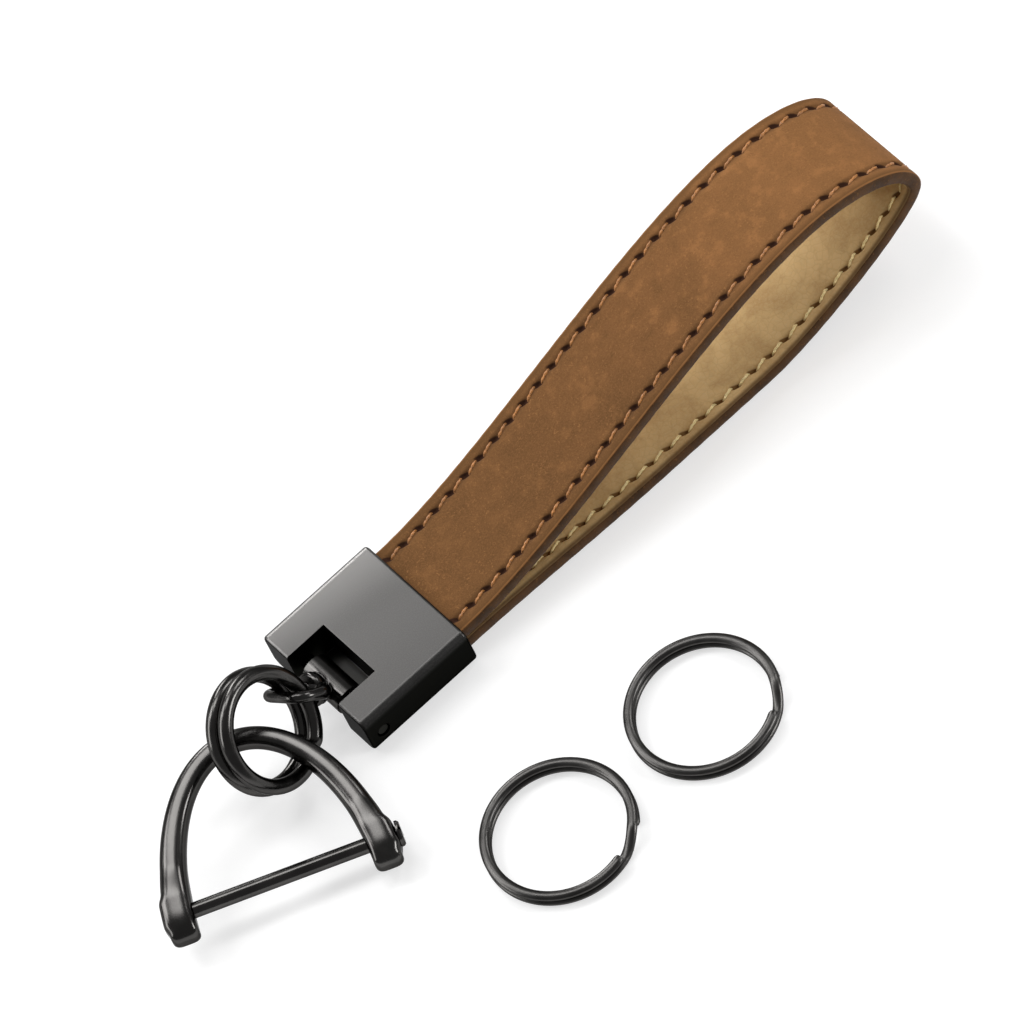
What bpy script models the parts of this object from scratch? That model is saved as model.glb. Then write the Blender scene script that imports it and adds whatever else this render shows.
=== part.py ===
"""Leather car keychain: a stitched strap loop in a metal clamp, with a hinged swivel, a split
ring, a D-shackle with a screw pin, and two loose split rings beside it.

Metres, +Z up. The origin is the middle of the clamp's flat back, which lies on the ground.
+X runs along the strap to the end of the loop, and -Y is the side where the loose rings lie.
"""

import math

import bmesh
import bpy
from mathutils import Matrix, Vector

# Clearances and shared finish
GAP = 0.0003
OVERRUN = 0.002
MERGE = 0.000001
ROUND_SIDES = 24

# Clamp
CLAMP_LENGTH = 0.0216
CLAMP_WIDTH = 0.0252
CLAMP_THICKNESS = 0.0077
CLAMP_WALL = 0.0009
CLAMP_CORNER = 0.0010
CLAMP_EDGE = 0.00018
CORNER_STEPS = 4
NOTCH_WIDTH = 0.0126
NOTCH_DEPTH = 0.0078
NOTCH_LIP = 0.0021
NOTCH_LIP_THICKNESS = 0.0012
PARTITION = 0.0014

# Hinge pin, from the clamp's ring end and from its back
PIN_SETBACK = 0.0028
PIN_HEIGHT = 0.0032
PIN_RADIUS = 0.0009
PIN_RECESS = 0.0003

# Clamp screws, from the strap end of the clamp and from its middle line
SCREW_SETBACK = 0.0062
SCREW_OFFSET = 0.0055
SCREW_RADIUS = 0.0009
SCREW_HEAD_RADIUS = 0.0016
SCREW_HEAD_DEPTH = 0.0007
SCREW_SLOT_WIDTH = 0.0004
SCREW_SLOT_DEPTH = 0.0003

# Strap
STRAP_WIDTH = 0.0212
OUTER_THICKNESS = 0.0011
GLUE_GAP = 0.00025
LINING_THICKNESS = 0.00105
LOOP_REACH = 0.0995
LOOP_HEIGHT = 0.0253
TIP_HEIGHT = 0.0138
CREST_SHARE = 0.80
TOUCH_SHARE = 0.635
SETTLE_SHARE = 0.42
RISE_HANDLE_SHARES = (0.27, 0.30)
CREST_HANDLE_SHARES = (0.55, 0.55)
FALL_HANDLE_SHARES = (0.355, 0.29)
SETTLE_HANDLE_SHARES = (0.4, 0.4)
RISE_STEPS = 9
CREST_STEPS = 7
FALL_STEPS = 9
SETTLE_STEPS = 4

# Stitching
STITCH_INSET = 0.0023
STITCH_PITCH = 0.0036
THREAD_RADIUS = 0.00022
THREAD_SLANT = 0.00012
THREAD_SINK = 0.00024
THREAD_DIP = 0.00030
GROOVE_WIDTH = 0.0013
GROOVE_DEPTH = 0.00075

# Swivel, measured along its axis from the hinge pin
SWIVEL_PITCH = 39.6
KNUCKLE_RADIUS = 0.0026
KNUCKLE_WIDTH = 0.0086
NECK_RADIUS = 0.0018
NECK_END = 0.00275
RIVET_RADIUS = 0.0009
RIVET_ROOT = 0.0022
COLLAR_RADIUS = 0.0026
COLLAR_THICKNESS = 0.0004
COLLAR_CROWN = 0.0002
HUB_RADIUS = 0.0028
HUB_THICKNESS = 0.0016
HUB_ROUND = 0.0006
RIVET_HEAD_RADIUS = 0.0014
RIVET_HEAD_THICKNESS = 0.0003
RIVET_HEAD_RIM = 0.00015

# Bail
BAIL_ROLL = 33.0
BAIL_BAR_RADIUS = 0.00085
BAIL_REACH = 0.0107
BAIL_CORNER = 0.0024
BAIL_CORNER_STEPS = 5
BAIL_PLAY = 0.0008

# Main split ring
RING_DROOP = 42.0
RING_TWIST = 8.0
RING_OUTER_RADIUS = 0.0101
RING_WIRE_RADIUS = 0.0013
RING_TURN_GAP = 0.0003
RING_STEPS = 28
RING_RAMP = 34.0
RING_END_GAP = 5.0
RING_SPLIT_AT = 205.0
BAR_PLAY = 0.00030

# Shackle
SHACKLE_HEADING = -23.8
SHACKLE_RISE = 9.0
SHACKLE_LEAN = 3.0
SHACKLE_DROP = 0.0029
SHACKLE_ASIDE = 0.0
SHACKLE_SEAT_TURN = 23.5
BOW_HALF_WIDTH = 0.0165
BOW_HEIGHT = 0.0242
BOW_TOE = 0.0047
BOW_FACE = 0.0041
BOW_DEPTH = 0.0043
BOW_CORNER = 0.0010
BOW_STEPS = 24
CROWN_SHARE = 0.80
EAR_TOP = 0.0034
EAR_SHARE = 1.24
TOE_SHARE = 1.02
PIN_SHANK_RADIUS = 0.00125
PIN_HEAD_RADIUS = 0.0021
PIN_HEAD_THICKNESS = 0.0007
PIN_HEAD_RIM = 0.0003
PIN_SLOT_WIDTH = 0.0005
PIN_SLOT_DEPTH = 0.0004
PIN_TAIL = 0.0001

# Loose split rings
LOOSE_OUTER_RADIUS = 0.0125
LOOSE_WIRE_RADIUS = 0.00085
LOOSE_FLAT_SHARE = 0.65
LOOSE_TURN_GAP = 0.0003
LOOSE_STEPS = 32
LOOSE_RAMP = 26.0
LOOSE_END_GAP = 3.0
LOOSE_FIRST_PLACE = (0.0283, -0.0470)
LOOSE_SECOND_PLACE = (-0.0010, -0.0462)
LOOSE_FIRST_SPLIT = 350.0
LOOSE_SECOND_SPLIT = 325.0

# Worked out from the sizes above
CLAMP_HALF = CLAMP_LENGTH / 2
STRAP_THICKNESS = OUTER_THICKNESS + GLUE_GAP + LINING_THICKNESS
STRAP_HALF = STRAP_THICKNESS / 2
LAYER_RISE = STRAP_HALF + GAP / 2
POCKET_HEIGHT = 2 * STRAP_THICKNESS + 3 * GAP
POCKET_WIDTH = STRAP_WIDTH + 2 * GAP
NOTCH_END = NOTCH_DEPTH - CLAMP_HALF
POCKET_END = NOTCH_END + PARTITION
PIN_PLACE = Vector((PIN_SETBACK - CLAMP_HALF, 0, PIN_HEIGHT))
SCREW_X = CLAMP_HALF - SCREW_SETBACK
COLLAR_START = NECK_END + GAP
HUB_START = COLLAR_START + COLLAR_THICKNESS + GAP
HUB_END = HUB_START + HUB_THICKNESS
RIVET_HEAD_START = HUB_END + GAP
RIVET_END = RIVET_HEAD_START + RIVET_HEAD_THICKNESS
RING_PITCH = 2 * RING_WIRE_RADIUS + RING_TURN_GAP
RING_RADIUS = RING_OUTER_RADIUS - RING_WIRE_RADIUS
RING_OFFSET = RING_RADIUS - RING_WIRE_RADIUS - BAR_PLAY - BAIL_BAR_RADIUS
BAIL_HALF_WIDTH = RING_PITCH / 2 + RING_WIRE_RADIUS + BAIL_PLAY + BAIL_BAR_RADIUS
LOOSE_RADIUS = LOOSE_OUTER_RADIUS - LOOSE_WIRE_RADIUS
LOOSE_WIRE_HALF_HEIGHT = LOOSE_WIRE_RADIUS * LOOSE_FLAT_SHARE
LOOSE_PITCH = 2 * LOOSE_WIRE_HALF_HEIGHT + LOOSE_TURN_GAP
LOOSE_HALF_HEIGHT = LOOSE_PITCH / 2 + LOOSE_WIRE_HALF_HEIGHT
BOW_WIDTH_SHARE = math.sqrt(1 - (BOW_TOE / (BOW_HEIGHT + BOW_TOE)) ** 2)
PIN_REACH = BOW_HALF_WIDTH * BOW_WIDTH_SHARE + BOW_FACE / 2 * EAR_SHARE

PARTS = bpy.data.collections.new("leather_car_keychain")
CUTTERS = bpy.data.collections.new("cutters")


def material(name, colour, roughness, metallic):
    """A plain finish: its colour, how rough it is and whether it is metal."""
    made = bpy.data.materials.new(name)
    made.use_nodes = True
    shader = made.node_tree.nodes["Principled BSDF"]
    shader.inputs["Base Color"].default_value = (*colour, 1)
    shader.inputs["Roughness"].default_value = roughness
    shader.inputs["Metallic"].default_value = metallic
    return made


def place(name, mesh, collection=None):
    """Puts a mesh in the scene as an object."""
    made = bpy.data.objects.new(name, mesh)
    (collection or PARTS).objects.link(made)
    return made


def finish(obj, finish_material, smooth=40):
    """Gives a part its material and smooth shading on its round faces."""
    obj.data.materials.clear()
    obj.data.materials.append(finish_material)
    obj.data.shade_smooth()
    obj.data.set_sharp_from_angle(angle=math.radians(smooth))
    return obj


def as_mesh(obj, name, collection=None):
    """Turns a curve or a modified object into a plain welded mesh object at the same place."""
    bpy.context.view_layer.update()
    graph = bpy.context.evaluated_depsgraph_get()
    mesh = bpy.data.meshes.new_from_object(obj.evaluated_get(graph), depsgraph=graph)
    made = place(name, mesh, collection)
    made.matrix_world = obj.matrix_world
    bpy.data.objects.remove(obj)
    shape = bmesh.new()
    shape.from_mesh(mesh)
    bmesh.ops.remove_doubles(shape, verts=shape.verts, dist=MERGE)
    bmesh.ops.recalc_face_normals(shape, faces=shape.faces)
    shape.to_mesh(mesh)
    shape.free()
    return made


def bake_place(obj):
    """Moves an object's place into its mesh."""
    bpy.context.view_layer.update()
    obj.data.transform(obj.matrix_world)
    obj.matrix_world = Matrix.Identity(4)
    return obj


def box(name, low, high, collection=None):
    """A box between two corners."""
    shape = bmesh.new()
    bmesh.ops.create_cube(shape, size=1)
    mesh = bpy.data.meshes.new(name)
    shape.to_mesh(mesh)
    shape.free()
    size = [b - a for a, b in zip(low, high)]
    middle = Vector([(a + b) / 2 for a, b in zip(low, high)])
    mesh.transform(Matrix.Translation(middle) @ Matrix.Diagonal((*size, 1)))
    return place(name, mesh, collection)


def turned(name, profile, collection=None, steps=ROUND_SIDES):
    """A solid or ring turned about +Z from (radius, height) points, top to bottom outside."""
    mesh = bpy.data.meshes.new(name)
    points = [(radius, 0, height) for radius, height in profile]
    edges = [(i, i + 1) for i in range(len(points) - 1)]
    if profile[0] != profile[-1] and profile[0][0] > 0:
        edges.append((len(points) - 1, 0))
    mesh.from_pydata(points, edges, [])
    raw = place(name + "_profile", mesh, collection)
    turn = raw.modifiers.new("turn", "SCREW")
    turn.axis = "Z"
    turn.steps = steps
    turn.render_steps = steps
    turn.use_merge_vertices = True
    turn.merge_threshold = MERGE
    return as_mesh(raw, name, collection)


def cylinder(name, radius, start, end, collection=None, steps=ROUND_SIDES):
    """A cylinder on the Z axis."""
    return turned(name, [(0, end), (radius, end), (radius, start), (0, start)], collection, steps)


def across(obj, x, z):
    """Lays a piece made on the Z axis along Y, through (x, z)."""
    obj.matrix_world = Matrix.Translation((x, 0, z)) @ Matrix.Rotation(math.radians(-90), 4, "X")
    return bake_place(obj)


def cut(part, *cutters):
    """Takes the cutters away from a part."""
    for cutter in cutters:
        combine(part, cutter, "DIFFERENCE")
    return part


def join(part, *pieces):
    """Joins pieces to a part."""
    for piece in pieces:
        combine(part, piece, "UNION")
    return part


def combine(part, other, operation):
    """One exact Boolean, with its tool kept out of sight."""
    other.hide_render = True
    other.display_type = "WIRE"
    tool = part.modifiers.new(operation.lower(), "BOOLEAN")
    tool.operation = operation
    tool.solver = "EXACT"
    tool.object = other
    weld = part.modifiers.new("weld", "WELD")
    weld.merge_threshold = MERGE


def outline_solid(name, points, half_depth, collection=None):
    """A closed (x, z) outline with the same depth on both sides of y = 0."""
    curve = bpy.data.curves.new(name, "CURVE")
    curve.dimensions = "2D"
    curve.fill_mode = "BOTH"
    curve.extrude = half_depth
    spline = curve.splines.new("POLY")
    spline.points.add(len(points) - 1)
    for point, (x, z) in zip(spline.points, points):
        point.co = (x, z, 0, 1)
    spline.use_cyclic_u = True
    raw = place(name + "_outline", curve, collection)
    raw.rotation_euler.x = math.radians(90)
    return bake_place(as_mesh(raw, name, collection))


def tube(name, points, radius, sides_step=2, cyclic=False, section=None, widths=None, collection=None):
    """A tube along points, round or with a section of its own, and with a width at each point."""
    curve = bpy.data.curves.new(name, "CURVE")
    curve.dimensions = "3D"
    curve.use_fill_caps = True
    curve.bevel_resolution = sides_step
    curve.bevel_depth = radius
    if section:
        curve.bevel_mode = "OBJECT"
        curve.bevel_object = section
    spline = curve.splines.new("POLY")
    spline.points.add(len(points) - 1)
    for i, point in enumerate(points):
        spline.points[i].co = (*point, 1)
        spline.points[i].radius = widths[i] if widths else 1
    spline.use_cyclic_u = cyclic
    return as_mesh(place(name + "_path", curve, collection), name, collection)


def rounded_rectangle(half_x, half_y, corner, steps):
    """The points of a rounded rectangle, counter-clockwise."""
    points = []
    for quarter, (sx, sy) in enumerate(((1, 1), (-1, 1), (-1, -1), (1, -1))):
        centre = (sx * (half_x - corner), sy * (half_y - corner))
        for i in range(steps + 1):
            angle = math.radians(90) * (quarter + i / steps)
            points.append(
                (centre[0] + corner * math.cos(angle), centre[1] + corner * math.sin(angle))
            )
    return points


def bezier(start, out, into, end, steps):
    """Points along a cubic curve, without its last one."""
    made = []
    for i in range(steps):
        t = i / steps
        blend = ((1 - t) ** 3, 3 * t * (1 - t) ** 2, 3 * t * t * (1 - t), t**3)
        made.append(sum((w * p for w, p in zip(blend, (start, out, into, end))), Vector((0, 0))))
    return made


def strap_spine():
    """The strap's middle line in (x, z), from its upper end in the clamp round to its lower end."""
    middle = CLAMP_THICKNESS / 2
    inner = POCKET_END + GAP
    crest_x = CLAMP_HALF + CREST_SHARE * LOOP_REACH
    tip_x = CLAMP_HALF + LOOP_REACH - STRAP_HALF
    touch_x = CLAMP_HALF + TOUCH_SHARE * LOOP_REACH
    settle_x = CLAMP_HALF + SETTLE_SHARE * LOOP_REACH
    upper = Vector((CLAMP_HALF, middle + LAYER_RISE))
    crest = Vector((crest_x, LOOP_HEIGHT - STRAP_HALF))
    tip = Vector((tip_x, TIP_HEIGHT))
    touch = Vector((touch_x, STRAP_HALF))
    settle = Vector((settle_x, STRAP_HALF))
    lower = Vector((CLAMP_HALF, middle - LAYER_RISE))
    along = Vector((1, 0))
    up = Vector((0, 1))
    rise_span = crest.x - upper.x
    fall_span = tip.x - touch.x
    settle_span = settle.x - lower.x
    rise, drop = RISE_HANDLE_SHARES, CREST_HANDLE_SHARES
    fall, rest = FALL_HANDLE_SHARES, SETTLE_HANDLE_SHARES
    points = [Vector((inner, upper.y))]
    points += bezier(
        upper,
        upper + along * rise[0] * rise_span,
        crest - along * rise[1] * rise_span,
        crest,
        RISE_STEPS,
    )
    points += bezier(
        crest,
        crest + along * drop[0] * (tip.x - crest.x),
        tip + up * drop[1] * (crest.y - tip.y),
        tip,
        CREST_STEPS,
    )
    points += bezier(
        tip,
        tip - up * fall[0] * (tip.y - touch.y),
        touch + along * fall[1] * fall_span,
        touch,
        FALL_STEPS,
    )
    points.append(touch)
    points += bezier(
        settle,
        settle - along * rest[0] * settle_span,
        lower + along * rest[1] * settle_span,
        lower,
        SETTLE_STEPS,
    )
    points += [lower, Vector((inner, lower.y))]
    return points


def beside(spine, distance):
    """The line at one distance outside the spine, mitred so that the layer keeps its thickness."""
    ways = [(b - a).normalized() for a, b in zip(spine, spine[1:])]
    sides = [Vector((-way.y, way.x)) for way in ways]
    before, after = [sides[0]] + sides, sides + [sides[-1]]
    line = []
    for point, one, two in zip(spine, before, after):
        line.append(point + (one + two) * distance / (1 + one.dot(two)))
    return line


def leather_layer(name, spine, skin, flesh, groove_floor, screw_holes):
    """One leather strip of the loop, with a thread groove along each edge of its skin side."""
    edge = STRAP_WIDTH / 2
    near = edge - STITCH_INSET + GROOVE_WIDTH / 2
    far = edge - STITCH_INSET - GROOVE_WIDTH / 2
    half = [(edge, flesh), (edge, skin), (near, skin), (near, groove_floor)]
    half += [(far, groove_floor), (far, skin)]
    section = half + [(-y, distance) for y, distance in half[::-1]]
    shape = bmesh.new()
    columns = [
        [shape.verts.new((spot.x, y, spot.y)) for spot in beside(spine, distance)]
        for y, distance in section
    ]
    for one, two in zip(columns, columns[1:] + columns[:1]):
        for i in range(len(spine) - 1):
            shape.faces.new((one[i], one[i + 1], two[i + 1], two[i]))
    shape.faces.new([column[0] for column in columns])
    shape.faces.new([column[-1] for column in columns[::-1]])
    bmesh.ops.recalc_face_normals(shape, faces=shape.faces)
    mesh = bpy.data.meshes.new(name)
    shape.to_mesh(mesh)
    shape.free()
    return cut(place(name, mesh), *screw_holes)


def stitch_row(name, spine, surface, outward, hand):
    """One thread along a row in its groove: it rises in each stitch and dips at each hole."""
    along = [0]
    for a, b in zip(spine, spine[1:]):
        along.append(along[-1] + (b - a).length)
    pocket = CLAMP_HALF - spine[0].x + 2 * GAP
    start, end = pocket, along[-1] - pocket
    stitches = int((end - start) / STITCH_PITCH)
    row = hand * (STRAP_WIDTH / 2 - STITCH_INSET)
    crest = beside(spine, surface - outward * THREAD_SINK)
    trough = beside(spine, surface - outward * THREAD_DIP)
    points = []
    for i in range(2 * stitches + 1):
        reach = start + (end - start) * i / (2 * stitches)
        k = max(j for j in range(len(along) - 1) if along[j] <= reach)
        share = (reach - along[k]) / (along[k + 1] - along[k])
        line = crest if i % 2 else trough
        spot = line[k].lerp(line[k + 1], share)
        slant = THREAD_SLANT * (0 if i % 2 else (1 if i % 4 else -1))
        points.append((spot.x, row + slant, spot.y))
    return tube(name, points, THREAD_RADIUS, sides_step=0)


def split_ring(name, radius, wire, pitch, turn_steps, ramp, end_gap, split_at):
    """Two turns of round wire about Z; the wire steps from one turn to the other at its split."""
    first = split_at + ramp / 2 + end_gap
    last = split_at + 720 - ramp / 2 - end_gap
    steps = round(turn_steps * (last - first) / 360)
    points = []
    for i in range(steps + 1):
        angle = first + (last - first) * i / steps
        share = min(max((angle - split_at - 360) / ramp + 0.5, 0), 1)
        height = pitch * (share * share * (3 - 2 * share) - 0.5)
        turn = math.radians(angle)
        points.append((radius * math.cos(turn), radius * math.sin(turn), height))
    return tube(name, points, wire)


def empty(name, parent=None):
    """An empty that holds a moving piece on its axis."""
    made = bpy.data.objects.new(name, None)
    PARTS.objects.link(made)
    made.parent = parent
    return made


def clamp(screw_cutters):
    """The metal clamp: a rounded box with the strap's pocket, and a notch for the hinge."""
    raw = outline_solid(
        "clamp_block",
        rounded_rectangle(CLAMP_WIDTH / 2, CLAMP_THICKNESS / 2, CLAMP_CORNER, CORNER_STEPS),
        CLAMP_HALF,
    )
    raw.matrix_world = Matrix.Translation((0, 0, CLAMP_THICKNESS / 2)) @ Matrix.Rotation(
        math.radians(90), 4, "Z"
    )
    block = bake_place(raw)
    notch = box(
        "notch_cutter",
        (-CLAMP_HALF - OVERRUN, -NOTCH_WIDTH / 2, NOTCH_LIP_THICKNESS),
        (NOTCH_END, NOTCH_WIDTH / 2, CLAMP_THICKNESS + OVERRUN),
        CUTTERS,
    )
    under_notch = box(
        "under_notch_cutter",
        (-CLAMP_HALF - OVERRUN, -NOTCH_WIDTH / 2, -OVERRUN),
        (NOTCH_END - NOTCH_LIP, NOTCH_WIDTH / 2, NOTCH_LIP_THICKNESS + OVERRUN),
        CUTTERS,
    )
    pocket = box(
        "pocket_cutter",
        (POCKET_END, -POCKET_WIDTH / 2, (CLAMP_THICKNESS - POCKET_HEIGHT) / 2),
        (CLAMP_HALF + OVERRUN, POCKET_WIDTH / 2, (CLAMP_THICKNESS + POCKET_HEIGHT) / 2),
        CUTTERS,
    )
    shell = as_mesh(cut(block, notch, under_notch), "clamp_shell")
    edges = shell.modifiers.new("edges", "BEVEL")
    edges.width = CLAMP_EDGE
    edges.segments = 1
    edges.limit_method = "ANGLE"
    edges.angle_limit = math.radians(50)
    body = as_mesh(shell, "clamp_body")
    reach = CLAMP_WIDTH / 2 + OVERRUN
    bore = cylinder("pin_bore_cutter", PIN_RADIUS + GAP, -reach, reach, CUTTERS)
    return cut(body, pocket, across(bore, PIN_PLACE.x, PIN_PLACE.z), *screw_cutters)


def screw(name, y):
    """A countersunk slotted screw, driven in from the clamp's back."""
    top = CLAMP_THICKNESS - CLAMP_WALL - GAP
    sunk = SCREW_HEAD_DEPTH + GAP
    made = turned(
        name,
        [
            (0, top),
            (SCREW_RADIUS, top),
            (SCREW_RADIUS, sunk),
            (SCREW_HEAD_RADIUS, GAP),
            (0, GAP),
        ],
    )
    slot = box(
        name + "_slot_cutter",
        (-SCREW_HEAD_RADIUS - OVERRUN, -SCREW_SLOT_WIDTH / 2, -OVERRUN),
        (SCREW_HEAD_RADIUS + OVERRUN, SCREW_SLOT_WIDTH / 2, GAP + SCREW_SLOT_DEPTH),
        CUTTERS,
    )
    made.location = (SCREW_X, y, 0)
    slot.location = (SCREW_X, y, 0)
    return cut(made, bake_place(slot))


def screw_hole(name, y):
    """The hole for a clamp screw, with its countersink."""
    top = CLAMP_THICKNESS - CLAMP_WALL
    narrow = SCREW_RADIUS + GAP
    wide = SCREW_HEAD_RADIUS + GAP
    made = turned(
        name,
        [
            (0, top - GAP / 2),
            (narrow, top - GAP / 2),
            (narrow, SCREW_HEAD_DEPTH + GAP),
            (wide, GAP),
            (wide, -OVERRUN),
            (0, -OVERRUN),
        ],
        CUTTERS,
    )
    made.location = (SCREW_X, y, 0)
    return bake_place(made)


def knuckle():
    """The hinge barrel on the pin, with the neck that carries the swivel rivet."""
    half = KNUCKLE_WIDTH / 2
    body = across(cylinder("swivel_knuckle", KNUCKLE_RADIUS, -half, half), 0, 0)
    neck = cylinder("neck_piece", NECK_RADIUS, 0, NECK_END, CUTTERS)
    reach = half + OVERRUN
    bore = across(cylinder("knuckle_bore_cutter", PIN_RADIUS + GAP, -reach, reach, CUTTERS), 0, 0)
    socket = cylinder(
        "rivet_bore_cutter", RIVET_RADIUS + GAP, RIVET_ROOT - GAP, NECK_END + OVERRUN, CUTTERS
    )
    join(body, neck)
    return cut(body, bore, socket), (neck, bore, socket)


def collar():
    """The domed collar that turns the neck's width into the bail's."""
    inner = RIVET_RADIUS + GAP
    top = COLLAR_START + COLLAR_THICKNESS
    return turned(
        "swivel_collar",
        [
            (inner, top),
            (COLLAR_RADIUS, top),
            (COLLAR_RADIUS, COLLAR_START + COLLAR_CROWN),
            ((COLLAR_RADIUS + inner) / 2, COLLAR_START),
            (inner, COLLAR_START),
        ],
    )


def rivet():
    """The rivet that the bail turns on, with its domed head inside the bail."""
    return turned(
        "swivel_rivet",
        [
            (0, RIVET_END),
            (RIVET_HEAD_RADIUS / 2, RIVET_END),
            (RIVET_HEAD_RADIUS, RIVET_HEAD_START + RIVET_HEAD_RIM),
            (RIVET_HEAD_RADIUS, RIVET_HEAD_START),
            (RIVET_RADIUS, RIVET_HEAD_START),
            (RIVET_RADIUS, RIVET_ROOT),
            (0, RIVET_ROOT),
        ],
    )


def bail():
    """The wire eye that turns on the rivet: a rounded frame with a round hub on its near bar."""
    near = HUB_START + HUB_THICKNESS / 2
    half_height = (BAIL_REACH - near) / 2
    frame = rounded_rectangle(BAIL_HALF_WIDTH, half_height, BAIL_CORNER, BAIL_CORNER_STEPS)
    points = [(0, y, near + half_height + z) for y, z in frame]
    body = tube("swivel_bail", points, BAIL_BAR_RADIUS, cyclic=True)
    hub = turned(
        "hub_piece",
        [
            (0, HUB_END),
            (HUB_RADIUS - HUB_ROUND, HUB_END),
            (HUB_RADIUS, HUB_END - HUB_ROUND),
            (HUB_RADIUS, HUB_START + HUB_ROUND),
            (HUB_RADIUS - HUB_ROUND, HUB_START),
            (0, HUB_START),
        ],
        CUTTERS,
    )
    bore = cylinder(
        "hub_bore_cutter", RIVET_RADIUS + GAP, HUB_START - OVERRUN, HUB_END + OVERRUN, CUTTERS
    )
    join(body, hub)
    return cut(body, bore), (hub, bore)


def bow_point(turn):
    """A point of the bow's middle line, by its turn from the crown, with the pin at y = 0."""
    rise = BOW_HEIGHT + BOW_TOE
    return Vector((BOW_HALF_WIDTH * math.sin(turn), rise * math.cos(turn) - BOW_TOE, 0))


def seat_place():
    """Moves the crown's seat, where the bow hangs in the ring, to the origin with its run on X."""
    turn = math.radians(SHACKLE_SEAT_TURN)
    step = math.radians(1)
    along = bow_point(turn + step) - bow_point(turn - step)
    angle = math.atan2(along.y, along.x)
    return angle, Matrix.Rotation(-angle, 4, "Z") @ Matrix.Translation(-bow_point(turn))


def bow_section():
    """The bow's rounded square section."""
    profile = bpy.data.curves.new("bow_section", "CURVE")
    profile.dimensions = "2D"
    spline = profile.splines.new("POLY")
    corners = rounded_rectangle(BOW_FACE / 2, BOW_DEPTH / 2, BOW_CORNER, 2)
    spline.points.add(len(corners) - 1)
    for point, (x, y) in zip(spline.points, corners):
        point.co = (x, y, 0, 1)
    spline.use_cyclic_u = True
    return place("bow_section", profile, CUTTERS)


def shackle():
    """The bow and its screw pin, about the bow's seat in the ring."""
    turns = [math.pi * (i / BOW_STEPS - 0.5) for i in range(BOW_STEPS + 1)]
    points = [bow_point(turn) for turn in turns]
    thin = 1 - CROWN_SHARE
    widths = [
        EAR_SHARE if point.y < EAR_TOP else 1 - thin * math.cos(turn) ** 2
        for turn, point in zip(turns, points)
    ]
    widths[0] = widths[-1] = TOE_SHARE
    section = bow_section()
    bow = tube("shackle_bow", points, 0, section=section, widths=widths)
    bpy.data.objects.remove(section)
    reach = PIN_REACH + OVERRUN
    hole = cylinder("shackle_hole_cutter", PIN_SHANK_RADIUS + GAP, -reach, reach, CUTTERS)
    head = PIN_REACH + GAP
    top = head + PIN_HEAD_THICKNESS
    pin = turned(
        "shackle_pin",
        [
            (0, top),
            (PIN_HEAD_RADIUS - PIN_HEAD_RIM, top),
            (PIN_HEAD_RADIUS, top - PIN_HEAD_RIM),
            (PIN_HEAD_RADIUS, head),
            (PIN_SHANK_RADIUS, head),
            (PIN_SHANK_RADIUS, -PIN_REACH - PIN_TAIL),
            (0, -PIN_REACH - PIN_TAIL),
        ],
    )
    wide = PIN_HEAD_RADIUS + OVERRUN
    slot = box(
        "pin_slot_cutter",
        (-wide, -PIN_SLOT_WIDTH / 2, top - PIN_SLOT_DEPTH),
        (wide, PIN_SLOT_WIDTH / 2, top + OVERRUN),
        CUTTERS,
    )
    angle, seated = seat_place()
    sideways = Matrix.Rotation(math.radians(90), 4, "Y")
    bow.data.transform(seated)
    for piece in (hole, pin, slot):
        piece.data.transform(seated @ sideways)
    cut(bow, hole)
    cut(pin, slot)
    return bow, pin, (hole, slot), angle


def hang(parent, *pieces):
    """Parents pieces that were made in the parent's own frame."""
    for piece in pieces:
        piece.parent = parent


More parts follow.
